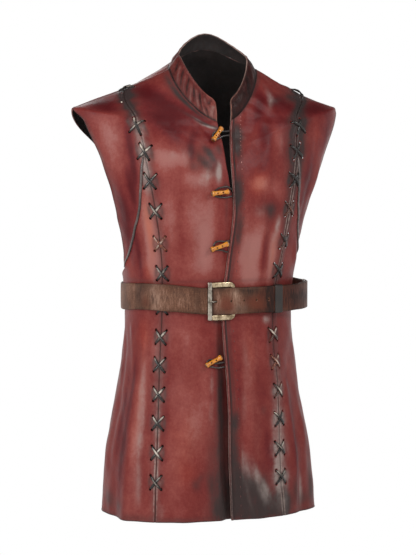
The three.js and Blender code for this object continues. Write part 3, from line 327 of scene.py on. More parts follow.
# Tone from 1, rosy and rubbed, to -1, deep red. The rose on the right front's chest is partly a painted
# sheen, and the narrow deep streaks in troughs of the right wing and side are painted shade.
TONES = [
    # right front: deep red yoke with a rounded foot, rose below it, on the chest partly a painted sheen
    [-72, 866, 30, 20, -0.7], [-54, 862, 40, 30, -0.75], [-44, 826, 34, 36, -0.62], [-47, 796, 24, 26, -0.6],
    [-38, 772, 20, 24, -0.6], [-26, 790, 8, 50, -0.5], [-33, 900, 26, 20, -0.5], [-27, 730, 6, 34, -0.7],
    [-14, 810, 14, 40, -0.4], [-35, 708, 28, 17, 0.8], [-45, 704, 16, 26, 0.6], [-24, 668, 26, 18, 0.6],
    [-17, 690, 9, 30, 0.5], [-36, 610, 6, 46, -0.15], [-43, 580, 14, 70, 0.45], [-27, 600, 24, 60, 0.45],
    [-19, 536, 16, 60, 0.95], [-37, 500, 6, 40, -0.1], [-26, 484, 40, 26, 0.45], [-14, 600, 10, 60, 0.3],
    [-29, 540, 10, 30, 0.3],
    # right wing and side; the narrow deep streaks at -60 to -67 are painted shade in troughs
    [-80, 800, 28, 16, -0.9], [-72, 784, 24, 14, -0.6], [-69, 725, 18, 44, 0.6], [-60, 700, 6, 60, -1.0],
    [-63, 640, 7, 40, -0.9], [-71, 600, 16, 36, -0.8], [-74, 545, 16, 44, -0.8], [-67, 505, 6, 50, -0.7],
    [-54, 690, 6, 50, 0.9], [-56, 545, 14, 76, 1.3], [-56, 480, 14, 26, 0.5],
    # left front
    [30, 860, 30, 44, -0.2], [46, 885, 12, 44, -0.7, -30], [33, 780, 12, 50, -0.8, -10],
    [22, 800, 9, 50, 0.0], [38, 748, 11, 36, 0.3], [58, 840, 16, 44, -0.8], [46, 800, 12, 44, -0.5],
    [24, 655, 18, 18, 0.8], [37, 640, 14, 20, 0.4], [26, 710, 18, 30, -0.3], [18, 500, 18, 54, 1.25],
    [26, 460, 18, 18, 0.6], [31, 505, 6, 50, -0.5], [39, 500, 9, 54, 1.1], [25, 520, 10, 40, 0.5],
    [13, 580, 9, 40, 0.2], [36, 600, 14, 30, -0.3], [28, 560, 12, 26, 0.3],
    # left wing and side
    [68, 790, 30, 22, -1.0], [72, 730, 18, 40, -0.5], [62, 735, 7, 30, 0.2], [61, 650, 14, 60, -0.75],
    [66, 560, 16, 60, -0.4], [75, 680, 8, 50, 0.3],
    # skirt, right front and side
    [-36, 350, 34, 28, 0.35], [-34, 250, 36, 60, 0.3], [-19, 255, 12, 60, 0.35], [-26, 180, 20, 46, 0.35],
    [-38, 120, 30, 50, 0.35], [-30, 84, 26, 34, -0.1], [-46, 190, 7, 90, -0.25], [-64, 200, 11, 130, 0.8],
    [-73, 262, 6, 50, -0.5], [-74, 140, 9, 80, -0.9], [-80, 190, 8, 60, -0.6], [-90, 250, 10, 90, -0.1],
    [-56, 330, 10, 40, 0.4],
    # skirt, left front and side
    [22, 320, 24, 50, 0.25], [16, 250, 12, 60, 0.4], [9, 250, 6, 70, -0.2], [27, 240, 9, 50, -0.2],
    [20, 160, 14, 40, 0.1], [30, 130, 10, 40, -0.45], [54, 200, 8, 70, -0.6], [53, 110, 8, 50, -0.6],
    [66, 160, 8, 90, -0.2],
    # back
    [150, 800, 60, 60, -0.5], [212, 800, 60, 60, -0.5], [180, 640, 50, 60, 0.4], [140, 560, 30, 60, 0.3],
    [220, 560, 30, 60, 0.3], [168, 250, 20, 120, 0.4], [215, 250, 16, 120, 0.35], [192, 200, 16, 110, -0.4],
    [147, 200, 14, 110, -0.4],
]
WARMTH = [
    [-56, 560, 11, 70, 0.85], [-78, 474, 14, 26, 1.0], [-62, 470, 14, 26, 0.6], [-68, 350, 26, 40, 0.7],
    [-66, 200, 14, 130, 0.5], [-35, 150, 40, 70, 0.5], [-30, 90, 20, 30, 0.4], [26, 700, 22, 70, 0.6],
    [38, 800, 16, 60, 0.4], [20, 650, 18, 30, 0.6], [63, 728, 10, 30, 0.35], [66, 640, 30, 90, 0.4],
    [39, 500, 8, 50, 0.6], [20, 480, 20, 50, 0.3], [56, 220, 10, 90, 0.6], [20, 320, 16, 60, 0.5],
    [-48, 850, 34, 40, 0.3], [200, 520, 60, 60, 0.4], [150, 330, 60, 60, 0.4],
]
WEAR_AND_PAINTED_LIGHT = {"stain": [STAINS_AND_SHADE, 0, 1.25], "worn": [WORN_AND_SHEEN, 0, 1.2], "tone": [TONES, -1.2, 1], "warm": [WARMTH, 0, 1]}
# How dark the leather is stained along the two laced seams, how grey it is rubbed there, how pale the
# highlight painted on the seam's lips is, and how far out the stain reaches.
SEAM_WEAR_AND_HIGHLIGHT_COLUMNS = [
    "along", "stain_right", "stain_left", "worn_right", "worn_left", "lip_right", "lip_left", "half_right",
    "half_left",
]
SEAM_WEAR_AND_HIGHLIGHT = [
    [0, 0.4, 0.85, 0.3, 0.5, 0.35, 0.7, 9, 15],
    [60, 0.35, 0.3, 0.6, 1.3, 0.85, 0.9, 9, 15],
    [150, 0.35, 0.25, 0.6, 1.3, 0.8, 0.8, 9, 14],
    [230, 0.45, 0.35, 0.6, 1.0, 0.3, 0.6, 10, 12],
    [320, 0.5, 0.6, 0.5, 0.3, 0.1, 0.2, 10, 10],
    [400, 0.45, 0.65, 0.3, 0.1, 0.1, 0.1, 9, 10],
    [480, 0.5, 0.7, 0.4, 0.2, 0.2, 0.6, 9, 10],
    [560, 0.45, 0.8, 0.4, 0.3, 0.3, 0.9, 9, 12],
    [640, 0.55, 1.0, 0.5, 0.1, 0.1, 0.8, 10, 15],
    [700, 0.65, 1.3, 0.5, 0.0, 0.2, 0.6, 10, 19],
    [760, 0.65, 1.3, 0.6, 0.0, 0.7, 0.3, 11, 20],
    [810, 0.9, 1.3, 0.2, 0.0, 0.2, 0.2, 12, 20],
    [850, 1.1, 1.2, 0.1, 0.0, 0.0, 0.0, 16, 20],
    [930, 0.2, 0.3, 0.1, 0.0, 0.0, 0.0, 10, 10],
]
# Round each cross the strip grows wider and a dark halo, stain with painted shadow, surrounds it.
CROSS_WEAR = {"reach": 15, "wider": 3, "worn": 0.5, "worn_between": 0.6}
HALO = {"at": 12, "half": 3.5, "stain": 0.55}
# Where the highlight painted on each lip of a laced seam lies.
LIPS = {"at": 2.7, "half": 1.3}
SEAM_WEAR_AND_HIGHLIGHT_END = 25  # its fade past the shoulder
# Gathers of the collar: angle, distance up, to where, half-width, out. They crowd on the wearer's right.
COLLAR_CREASES = [
    [-14, 30, -20, 6, 2.6, 0.7], [-20, 34, -25, 24, 2.4, -0.7], [-22, 20, -17, 8, 2.0, 0.9],
    [-28, 16, -22, 4, 1.8, -0.8], [-33, 14, -26, 3, 2.0, 0.9], [-31, 34, -27, 20, 2.6, 0.6],
    [-38, 32, -33, 8, 2.2, -0.9], [-43, 30, -38, 5, 2.4, 0.9], [-48, 33, -45, 10, 2.0, -0.9],
    [-53, 31, -49, 4, 2.4, 1.0], [-58, 33, -56, 9, 2.1, -0.9], [-63, 30, -60, 5, 2.5, 0.9],
    [-69, 33, -67, 8, 2.2, -0.8], [-75, 30, -73, 4, 2.8, 0.8], [-82, 32, -81, 7, 2.5, -0.8],
    [-90, 31, -89, 5, 3.0, 0.8], [-98, 33, -98, 8, 2.6, -0.7], [-107, 31, -108, 5, 3.2, 0.8],
    [-118, 32, -119, 6, 3.0, -0.7], [-130, 31, -131, 5, 3.6, 0.7], [-144, 33, -144, 7, 3.2, -0.6],
    [-160, 31, -160, 5, 4.0, 0.7], [-176, 32, -176, 6, 3.6, -0.6], [168, 31, 168, 5, 4.0, 0.6],
    [150, 33, 151, 7, 3.4, -0.6], [133, 31, 134, 5, 3.8, 0.6], [116, 32, 116, 6, 3.4, -0.6],
    [100, 31, 99, 5, 3.4, 0.6], [84, 32, 82, 6, 3.0, -0.6], [70, 31, 66, 6, 3.2, 0.6],
    [54, 33, 50, 10, 2.8, -0.5], [36, 30, 33, 12, 3.4, 0.4],
]
GATHER_HEIGHT = 1.5  # times the heights in the table
COLLAR_GRAIN = {"out": 0.2, "turns": 23, "up": 14}  # a fine slanting ripple
COLLAR_ROLL = [[0.9, 1.8, 2.6], [-0.5, 5.6, 2.2]]  # its edge's roll and stitched groove: out, at, half
MOST_MARK = 1.1
BELT_DARK_EDGE = {"strength": 0.35, "width": 3}
# Marks along the belt: distance past the toe bar, height from its middle line, half-sizes and strength.
BELT_MARK_COLUMNS = ["past", "up", "around", "tall", "strength"]
BELT_DARK = [
    [-140, 0, 16, 60, 0.7], [-118, 16, 20, 12, 0.4], [-22, -4, 12, 30, 0.5], [-60, 22, 60, 4, 0.45],
    [-50, -22, 70, 4, 0.4], [20, 24, 12, 8, 0.5], [22, -20, 16, 9, 0.4], [70, 20, 30, 7, 0.6],
    [70, -2, 9, 14, 0.35], [112, 8, 14, 20, 0.45], [100, -22, 26, 6, 0.5], [54, -12, 6, 12, 0.3],
    [3, 0, 6, 30, 0.8], [120, 0, 9, 40, 0.9], [150, 0, 44, 40, 0.6], [200, 0, 44, 40, 0.7],
    [80, 13, 22, 12, 0.5], [60, -16, 30, 8, 0.4], [250, 0, 60, 12, 0.4], [420, 10, 80, 12, 0.4],
    [600, -8, 60, 14, 0.45],
]
# Pale marks; those at -102 over the lace's bulge and at 47 to 50 over the heel bar are painted highlights.
BELT_PALE = [
    [-102, 2, 14, 40, 0.55], [-84, -10, 18, 16, 0.3], [-60, 8, 22, 9, 0.3], [-40, -6, 24, 12, 0.25],
    [16, 6, 6, 16, 0.5], [47, 14, 8, 9, 0.75], [50, -2, 8, 26, 0.45], [64, -12, 12, 10, 0.4],
    [84, 10, 14, 6, 0.2], [330, 4, 30, 14, 0.3], [520, 2, 40, 12, 0.3],
]
BELT_RED = [
    [29, -3, 15, 17, 1.0], [36, -12, 12, 9, 0.6], [74, -4, 16, 14, 0.7], [98, -4, 18, 22, 0.95],
    [150, 0, 50, 26, 1.1], [114, 4, 12, 24, 0.9], [200, 0, 50, 30, 0.8], [-120, -12, 14, 12, 0.5],
    [-132, 4, 14, 20, 0.45],
]
STITCHES = {
    "inset": 21, "pitch": 18.5, "length": 4.2, "width": 0.9, "low": 8, "high": 915, "off_belt": 45,
    "pale_from": 684,
}
STITCH_ENDS = [0.25, 0.75, 1, 1, 1, 0.75, 0.25]  # its thickness from end to end

# ---- how finely the leather is meshed
ROW_STEP = 3.2
END_ROWS = np.array([0.8, 1.8])  # rows added near a panel's bottom and top
COLUMN_STEP = 4.0
NEAR_EDGE = np.array([0, 0.7, 1.5, 2.5, 3.7, 5, 6.5, 8, 9.6, 11.4, 13.4, 15.6])
NEAR_ROLL = np.arange(0, 41, 2.0)
NEAR_CORNER = np.array([0, 0.5, 1.1, 1.9, 2.8, 3.8, 5, 6.3, 7.6, 9])
COLLAR_END_ROWS = [0.01, 0.03, 0.97, 0.99]  # as shares of its height
FAR = 60.0  # stands for the distance of the collar's middle from its front edges
NEAR_BUCKLE = np.arange(-6, 74, 1.6)  # past the toe bar
NEAR_TIP = np.array([0.1, 0.4, 1.6])  # degrees before the belt's tip
RING_SAMPLES = 121  # for measuring a row's length
LEAST_TURN = 0.2  # degrees between a panel's edges
MOST_SQUEEZE = 0.8  # the share of a narrow row that the columns near its edges may fill

# ---- panels that are two solids in the model
LONG_PANELS = ["front_right", "front_left", "side_right", "side_left", "back"]  # two solids in the model

# ---- camera, light and floor
CAMERA = {"azimuth": -17, "elevation": 5.6, "distance": 3.8, "lens": 127.7, "sensor": 36}
TARGET = (0, 0, -0.402)
FLOOR = {"height": -1.45, "radius": 1.9}  # metres; below a wearer of ordinary height
LIGHT_COLUMNS = ["name", "azimuth", "elevation", "distance", "size", "power"]
LIGHTS = [
    ["soft_left", -74, 22, 3.2, 1.5, 40],
    ["front", -40, 12, 3.4, 1.2, 22],
    ["small_right", 24, 34, 3.2, 0.8, 36],
    ["top", -5, 72, 3.0, 1.4, 10],
    ["back", 170, 22, 3.4, 1.8, 20],
]
# The studio's walls: white to a little above the horizon, then darker.
SKY = {"From Min": 0.05, "From Max": 0.4, "To Min": 1.0, "To Max": 0.12}


def curve(x, y):
    """A smooth curve through a table's points, as the model reads its tables."""
    x, y = np.array(x, float), np.array(y, float)
    span = np.diff(x)
    step = np.diff(y) / span
    slope = np.concatenate([
        step[:1], (step[:-1] * span[1:] + step[1:] * span[:-1]) / (span[1:] + span[:-1]), step[-1:],
    ])

    def read(at):
        at = np.clip(at, x[0], x[-1])
        i = np.clip(np.searchsorted(x, at, side="right") - 1, 0, len(x) - 2)
        h = x[i + 1] - x[i]
        t = (at - x[i]) / h
        ends = (2 * t**3 - 3 * t**2 + 1) * y[i] + (3 * t**2 - 2 * t**3) * y[i + 1]
        return ends + ((t**3 - 2 * t**2 + t) * slope[i] + (t**3 - t**2) * slope[i + 1]) * h

    return read


def read_table(columns, rows):
    table = list(zip(*rows))
    return {name: curve(table[0], table[k]) for k, name in enumerate(columns) if k}


def read_rows(columns, rows):
    return [dict(zip(columns, row)) for row in rows]


def bump(distance, half):
    """A round-topped bump: 1 in the middle, 0 from the half-width on."""
    distance = np.abs(distance)
    return np.where(distance < half, np.cos(distance / half * (math.pi / 2)) ** 2, 0.0)


def hill(distance, half):
    """A soft hill, 1 in the middle and 0.37 at the half-width."""
    return np.exp(-((distance / half) ** 2))


def smooth(t):
    t = np.clip(t, 0, 1)
    return t * t * (3 - 2 * t)


def unit(v):
    return v / np.maximum(np.linalg.norm(v, axis=-1, keepdims=True), 1e-9)


def within_turn(angle):
    return (angle + 180) % 360 - 180


def circle(sides):
    turn = 2 * math.pi * np.arange(sides) / sides
    return np.stack([np.cos(turn), np.sin(turn)], axis=-1)


def turned(ring, across, over):
    """A flat ring's points set in space by its two directions."""
    return ring[..., :1] * across + ring[..., 1:] * over


seam = read_table(SEAM_COLUMNS, SEAMS)
armhole = read_table(ARMHOLE_COLUMNS, ARMHOLE)
seam_wear_and_highlight = read_table(SEAM_WEAR_AND_HIGHLIGHT_COLUMNS, SEAM_WEAR_AND_HIGHLIGHT)


def fold_out(angle, along):
    out = 0
    for fold in read_rows(FOLD_COLUMNS, FOLDS):
        fade = np.maximum(0, 1 - along / fold["top"])
        out = out + fold["out"] * fade * bump(within_turn(angle - fold["angle"]), fold["half_width"])
    return out


class RingSurface:
    """A surface through level rings. A point is found by its angle, 0 at the middle of the front and growing
    to the wearer's left, and its distance along the surface from the first ring. All of it takes arrays."""

    def __init__(self, rings, top, extra_out=lambda angle, along: 0):
        self.curves = read_table(RING_COLUMNS, rings)
        self.top = top
        self.extra_out = extra_out

    def radius(self, angle, along):
        forward, across = np.cos(np.radians(angle)), np.sin(np.radians(angle))
        y_side = self.curves["y_side"](along)
        front, back = y_side - self.curves["y_front"](along), self.curves["y_back"](along) - y_side
        depth = np.where(forward > 0, front, back)
        power = self.curves["power"](along)
        width = self.curves["half_width"](along)
        return ((np.abs(forward) / depth) ** power + (np.abs(across) / width) ** power) ** (-1 / power)

    def plain(self, angle, along):
        angle, along = np.broadcast_arrays(np.asarray(angle, float), np.asarray(along, float))
        forward, across = np.cos(np.radians(angle)), np.sin(np.radians(angle))
        radius = self.radius(angle, along) + self.extra_out(angle, along)
        z_side = self.curves["z_side"](along)
        z_middle = np.where(forward > 0, self.curves["z_front"](along), self.curves["z_back"](along))
        rise_right, rise_left = self.curves["rise_right"](along), self.curves["rise_left"](along)
        power = np.where(forward > 0, np.where(across < 0, rise_right, rise_left), BACK_RISE)
        return np.stack([
            radius * across,
            self.curves["y_side"](along) - radius * forward,
            z_side + (z_middle - z_side) * np.abs(forward) ** power,
        ], axis=-1)

    def slopes(self, angle, along):
        """How far a point moves for each degree round and each millimetre along."""
        turn = 0.5
        along = np.asarray(along, float)
        low, high = np.maximum(along - 1, 0), np.minimum(along + 1, self.top)
        around = (self.plain(angle + turn, along) - self.plain(angle - turn, along)) / (2 * turn)
        up = (self.plain(angle, high) - self.plain(angle, low)) / np.asarray(high - low)[..., None]
        return around, up

    def outward(self, angle, along):
        around, up = self.slopes(angle, along)
        return unit(np.cross(around, up))

    def point(self, angle, along, out):
        return self.plain(angle, along) + self.outward(angle, along) * np.asarray(out, float)[..., None]

    def reach(self, angle, along, move):
        """The angle and distance reached from a point by a short move over the surface."""
        around, up = self.slopes(angle, along)
        rr, ru, uu = around @ around, around @ up, up @ up
        mr, mu = move @ around, move @ up
        scale = rr * uu - ru * ru
        return angle + (mr * uu - mu * ru) / scale, along + (mu * rr - mr * ru) / scale

    def directions(self, angle, along):
        outward = self.outward(angle, along)
        around = unit(self.slopes(angle, along)[0])
        return around, np.cross(outward, around), outward

    def angle_across(self, across, along):
        angle = 0 * np.asarray(across + along, float)
        for _ in range(8):
            angle = np.degrees(np.arcsin(np.clip(across / self.radius(angle, along), -1, 1)))
        return angle


body = RingSurface(RINGS, NECK, fold_out)
collar = RingSurface(COLLAR_RINGS, COLLAR["height"])


# ---- seams as functions of height
def lace_angle(side, along):
    rise = np.clip((along - LACE_TURN) / (SHOULDER_LACE[side] - LACE_TURN), 0, 1)
    start = seam[f"lace_{HANDS[side]}"](np.minimum(along, LACE_TURN))
    return side * (start + (SHOULDER - start) * rise ** LACE_BEND[side])


def pipe_angle(side, along):
    piped = side * armhole[f"pipe_{HANDS[side]}"](along)
    return np.where(along >= WING_POINT, lace_angle(side, along), piped)


def armhole_front(side, along):
    return side * np.where(along >= SHOULDER_TIP, SHOULDER, armhole["front"](along))


def side_end(side, along):
    upper = np.where(along < WING_FOOT, armhole_front(side, along), pipe_angle(side, along))
    return np.where(along <= UNDERARM, side * SIDE_SEAM, upper)


def back_start(along):
    upper = np.where(along >= SHOULDER_TIP, SHOULDER, armhole["back"](along))
    return np.where(along <= UNDERARM, SIDE_SEAM, upper)


def left_edge(along):
    return body.angle_across(seam["edge_left"](along), along)


def right_edge(along):
    return body.angle_across(seam["edge_right"](along), along)


def half_gap(edge, along):
    """Half a seam gap, in degrees along the ring."""
    step = 2
    low, high = np.maximum(along - step, 0), np.minimum(along + step, NECK)
    radius = body.radius(edge(along), along)
    slant = np.minimum(np.abs(radius * np.radians(edge(high) - edge(low)) / (high - low)), MAX_SLANT)
    return np.degrees(SEAM_GAP / 2 * np.hypot(1, slant) / radius)


def roll_in(angle, along):
    """The right front rolls in under the left one."""
    across = body.radius(angle, along) * np.sin(np.radians(angle))
    start, end = seam["roll"](along), seam["edge_left"](along) - ROLL_END
    return -seam["sink"](along) * smooth((across - start) / (end - start))


def laces(side):
    """The crosses of one side from the hem up, the last one over the top of the shoulder."""
    top = {**TOP_LACE, "along": SHOULDER_LACE[side] - TOP_LACE["below"]}
    return [{**row, "lift": row[f"lift_{HANDS[side]}"]} for row in [*read_rows(LACE_COLUMNS, LACES), top]]


# ---- the leather's relief and wear
def crease_out(rows, surface, angle, along):
    out = np.zeros(np.broadcast(angle, along).shape)
    for n, row in enumerate(read_rows(CREASE_COLUMNS, rows)):
        middle = (row["angle"] + row["to_angle"]) / 2, (row["along"] + row["to_along"]) / 2
        degree = math.radians(float(surface.radius(*middle)))
        u, v = within_turn(angle - row["angle"]) * degree, along - row["along"]
        across, up = (row["to_angle"] - row["angle"]) * degree, row["to_along"] - row["along"]
        length = math.hypot(across, up)
        at = np.clip((u * across + v * up) / length**2, 0, 1)
        off = (u * up - v * across) / length
        wander = row["half"] * CREASE_LINE["wander"] * np.sin(at * CREASE_LINE["wander_turn"] + n)
        past = np.hypot(u - at * across, v - at * up)
        distance = np.sqrt((off - wander) ** 2 + np.maximum(past**2 - off**2, 0))
        height = row["out"] * (CREASE_LINE["end"] + (1 - CREASE_LINE["end"]) * np.sin(math.pi * at))
        swell = 1 + CREASE_LINE["swell"] * np.sin(at * CREASE_LINE["swell_turn"] + 2 * n)
        out += height * swell * hill(distance, row["half"])
    return out


def relief(angle, along):
    """How far the leather stands out from the plain form. It is calm under the belt."""
    out = crease_out(CREASES, body, angle, along)
    for wave in read_rows(RIPPLE_COLUMNS, RIPPLES):
        turn = np.radians(wave["turns"] * angle + wave["phase"] + along / wave["wavelength"] * 360)
        out = out + wave["out"] * np.sin(turn)
    calm = smooth((np.abs(along - CALM["along"]) - CALM["half_width"]) / CALM["fade"])
    return np.minimum(out, MOST_RELIEF) * calm


def marks(rows, angle, along):
    """How strongly a table's marks cover each point; marks of opposite sign add up."""
    total = np.zeros(np.broadcast(angle, along).shape)
    for mark in read_rows(MARK_COLUMNS, rows):
        degree = math.radians(float(body.radius(mark["angle"], mark["along"])))
        u, v = within_turn(angle - mark["angle"]) * degree, along - mark["along"]
        lean = math.radians(mark.get("lean", 0))
        across, up = u * math.cos(lean) + v * math.sin(lean), v * math.cos(lean) - u * math.sin(lean)
        total += mark["strength"] * np.exp(-((across / mark["around"]) ** 2) - (up / mark["up"]) ** 2)
    return total


def seam_marks(angle, along):
    """The stain and the rub that follow the laced seams and gather round each cross, painted shadow in the
    halos round the crosses, and the highlight painted on the seam's lips.
    """
    stain, worn, lips = 0, 0, 0
    radius = body.radius(angle, along)
    for side, hand in HANDS.items():
        off = np.radians(within_turn(angle - lace_angle(side, along))) * radius
        cross = 0
        for lace in laces(side):
            cross = np.maximum(cross, hill(along - lace["along"], CROSS_WEAR["reach"]))
        strip = hill(off, seam_wear_and_highlight[f"half_{hand}"](along) + CROSS_WEAR["wider"] * cross)
        halo = hill(np.abs(off) - HALO["at"], HALO["half"]) * cross
        top = 1 - smooth((along - SHOULDER_LACE[side]) / SEAM_WEAR_AND_HIGHLIGHT_END)
        stain = stain + (seam_wear_and_highlight[f"stain_{hand}"](along) * strip + HALO["stain"] * halo) * top
        rub = CROSS_WEAR["worn_between"] + CROSS_WEAR["worn"] * cross
        worn = worn + seam_wear_and_highlight[f"worn_{hand}"](along) * strip * rub * top
        lips = lips + seam_wear_and_highlight[f"lip_{hand}"](along) * hill(np.abs(off) - LIPS["at"], LIPS["half"]) * top
    return stain, worn, lips


def wear_and_painted_light(angle, along):
    """The named values that the leather's finish reads at each point: stains and wear, and among them painted
    shade, sheen and highlights.
    """
    stain, worn, lips = seam_marks(angle, along)
    at_seams = {"stain": stain, "worn": worn}
    values = {
        name: np.clip(marks(rows, angle, along) + at_seams.get(name, 0), least, most)
        for name, (rows, least, most) in WEAR_AND_PAINTED_LIGHT.items()
    }
    return {**values, "rim": np.clip(lips, 0, 1)}


# ---- meshes
def make_mesh(name, points, faces, looks, face_looks=None, values=None):
    """A smooth-shaded object from points in millimetres; values are named numbers at the points."""
    mesh = bpy.data.meshes.new(name)
    mesh.from_pydata((np.asarray(points) * MM).tolist(), [], [tuple(map(int, face)) for face in faces])
    for look in looks:
        mesh.materials.append(look)
    if face_looks is not None:
        mesh.polygons.foreach_set("material_index", np.asarray(face_looks, np.int32))
    for key, value in (values or {}).items():
        attribute = mesh.attributes.new(key, "FLOAT", "POINT")
        attribute.data.foreach_set("value", np.asarray(value, np.float32).ravel())
    mesh.polygons.foreach_set("use_smooth", np.ones(len(mesh.polygons), bool))
    mesh.update()
    piece = bpy.data.objects.new(name, mesh)
    bpy.context.scene.collection.objects.link(piece)
    return piece


def tube(sections, round_again=False):
    """Joins a row of like rings of points into one closed shape: its points and faces. Its ends are capped,
    unless it runs round into its first ring again."""
    sections = np.asarray(sections, float)
    count, sides = sections.shape[:2]
    number = np.arange(count * sides).reshape(count, sides)
    after = np.roll(number, -1, axis=1)
    quads = np.stack([number, after, np.roll(after, -1, axis=0), np.roll(number, -1, axis=0)], axis=-1)
    points = sections.reshape(-1, 3)
    if round_again:
        return points, face_out(points, quads.reshape(-1, 4))
    points = np.vstack([points, sections[0].mean(0), sections[-1].mean(0)])
    first, last = count * sides, count * sides + 1
    caps = [(first, b, a) for a, b in zip(number[0], after[0])]
    caps += [(last, a, b) for a, b in zip(number[-1], after[-1])]
    return points, face_out(points, [*quads[:-1].reshape(-1, 4), *caps])


def face_out(points, faces):
    """Turns a closed mesh's faces outwards."""
    volume = 0.0
    for face in faces:
        a = points[face[0]]
        for b, c in zip(face[1:-1], face[2:]):
            volume += float(np.dot(a, np.cross(points[b], points[c])))
    return faces if volume > 0 else [face[::-1] for face in faces]


def rounded(width, height, sides, power):
    """A rounded section, as [across, out] points round its middle; a higher power makes it squarer."""
    turn = 2 * math.pi * (np.arange(sides) + 0.5) / sides
    across, out = np.cos(turn), np.sin(turn)
    size = (np.abs(across) ** power + np.abs(out) ** power) ** (-1 / power)
    return np.stack([width / 2 * size * across, height / 2 * size * out], axis=-1)


class Bundle:
    """Several closed shapes that make one piece."""

    def __init__(self):
        self.points, self.faces, self.looks, self.values, self.count = [], [], [], {}, 0

    def add(self, points, faces, look=0, **values):
        self.points.append(points)
        self.faces += [tuple(int(i) + self.count for i in face) for face in faces]
        self.looks += [look] * len(faces)
        for key, value in values.items():
            self.values.setdefault(key, []).append(np.broadcast_to(value, len(points)))
        self.count += len(points)

    def piece(self, name, looks):
        values = {key: np.concatenate(parts) for key, parts in self.values.items()}
        return make_mesh(name, np.vstack(self.points), self.faces, looks, self.looks, values)


def punch(piece, drills):
    """Cuts a bundle of drills out of a closed piece."""
    tool = drills.piece(piece.name + "_drills", [])
    cut = piece.modifiers.new("holes", "BOOLEAN")
    cut.operation, cut.solver, cut.object = "DIFFERENCE", "MANIFOLD", tool
    graph = bpy.context.evaluated_depsgraph_get()
    mesh = bpy.data.meshes.new_from_object(piece.evaluated_get(graph), depsgraph=graph)
    piece.modifiers.clear()
    old, piece.data = piece.data, mesh
    bpy.data.meshes.remove(old)
    bpy.data.objects.remove(tool)


def finish_piece(piece, slot, *nodes):
    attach(piece, "root")
    if nodes:
        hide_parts(*nodes)
    return piece


# ---- finishes
def srgb(code):
    """A colour's linear values from its sRGB hex code."""
    parts = [int(code[k:k + 2], 16) / 255 for k in (0, 2, 4)]
    return tuple(((c + 0.055) / 1.055) ** 2.4 if c > 0.04045 else c / 12.92 for c in parts) + (1.0,)


class Look:
    """A material whose nodes are added one call at a time."""

    def __init__(self, name, **settings):
        self.material = bpy.data.materials.new(name)
        self.material.use_nodes = True
        self.tree = self.material.node_tree
        self.surface = self.tree.nodes["Principled BSDF"]
        for key, value in settings.items():
            self.surface.inputs[key.replace("_", " ")].default_value = value

    def node(self, kind, inputs=(), **settings):
        node = self.tree.nodes.new(kind)
        for key, value in settings.items():
            setattr(node, key, value)
        for key, value in dict(inputs).items():
            self.feed(node.inputs[key], value)
        return node

    def feed(self, socket, value):
        if isinstance(value, bpy.types.NodeSocket):
            self.tree.links.new(value, socket)
        else:
            socket.default_value = value

    def set(self, **inputs):
        for key, value in inputs.items():
            self.feed(self.surface.inputs[key.replace("_", " ")], value)
        return self.material

    def place(self, size, stretch=(1, 1, 1)):
        """The point of the object, in units of size millimetres, drawn out along an axis by its stretch."""
        where = self.node("ShaderNodeTexCoord").outputs["Object"]
        scale = tuple(1 / (size * MM * s) for s in stretch)
        return self.node("ShaderNodeMapping", {"Vector": where, "Scale": scale}).outputs["Vector"]

    def noise(self, size, detail, rough=0.55, warp=0.0, stretch=(1, 1, 1)):
        inputs = {"Vector": self.place(size, stretch), "Scale": 1.0, "Detail": detail}
        inputs.update({"Roughness": rough, "Distortion": warp})
        return self.node("ShaderNodeTexNoise", inputs).outputs["Fac"]

    def cells(self, size):
        """The distance to the nearest edge of a net of cells."""
        inputs = {"Vector": self.place(size), "Scale": 1.0}
        return self.node("ShaderNodeTexVoronoi", inputs, feature="DISTANCE_TO_EDGE").outputs["Distance"]

    def value(self, name):
        return self.node("ShaderNodeAttribute", attribute_name=name).outputs["Fac"]

    def math(self, operation, a, b=0.0, c=0.0):
        node = self.node("ShaderNodeMath", operation=operation)
        for k, item in enumerate((a, b, c)):
            self.feed(node.inputs[k], item)
        return node.outputs[0]

    def sum(self, *terms):
        """Adds pairs of a value and its weight."""
        total = 0.0
        for value, weight in terms:
            total = self.math("MULTIPLY_ADD", value, weight, total)
        return total

    def spread(self, value, low, high, to_low=0.0, to_high=1.0):
        """Takes the range from low to high smoothly to another range."""
        inputs = {"Value": value, "From Min": low, "From Max": high, "To Min": to_low, "To Max": to_high}
        node = self.node("ShaderNodeMapRange", inputs, interpolation_type="SMOOTHSTEP", clamp=True)
        return node.outputs["Result"]

    def over_noise(self, noise, low, high):
        """A number from low to high over the range that a noise mostly keeps to."""
        return self.spread(noise, 0.3, 0.7, low, high)

    def mix(self, factor, a, b):
        node = self.node("ShaderNodeMix", data_type="RGBA")
        for socket, value in zip((node.inputs[0], node.inputs[6], node.inputs[7]), (factor, a, b)):
            self.feed(socket, value)
        return node.outputs[2]

    def paint(self, colour, name, broken, reach, code):
        """Lays a colour where the named value is high, broken up by a pattern. reach is from which value to
        which it goes from how much to how much."""
        amount = self.math("MULTIPLY", self.value(name), broken)
        return self.mix(self.spread(amount, *reach), colour, srgb(code))

    def ramp(self, value, *stops):
        node = self.node("ShaderNodeValToRGB", {"Fac": value})
        elements = node.color_ramp.elements
        while len(elements) < len(stops):
            elements.new(0.5)
        for element, (at, code) in zip(elements, stops):
            element.position, element.color = at, srgb(code)
        return node.outputs["Color"]

    def bump(self, height, distance, strength, normal=None):
        inputs = {"Height": height, "Distance": distance * MM, "Strength": strength}
        if normal is not None:
            inputs["Normal"] = normal
        return self.node("ShaderNodeBump", inputs).outputs["Normal"]


# The leather's patterns from the largest to the finest: size in millimetres, detail, roughness, warp and
# stretch.
LEATHER_NOISES = {
    "cloud": [80, 2.0, 0.5, 0.3],
    "mottle": [20, 4.0, 0.6, 0.5],
    "wisp": [7, 4.0, 0.65],
    "fleck": [3.6, 3.0, 0.6, 0.3],
    "brushed": [9, 4.0, 0.6, 0.4, (1, 1, 4)],
}
PUCKERS = [5.5, 3.0, 0.6, 1.4, (1, 1, 2.2)]
GRAIN = 1.5


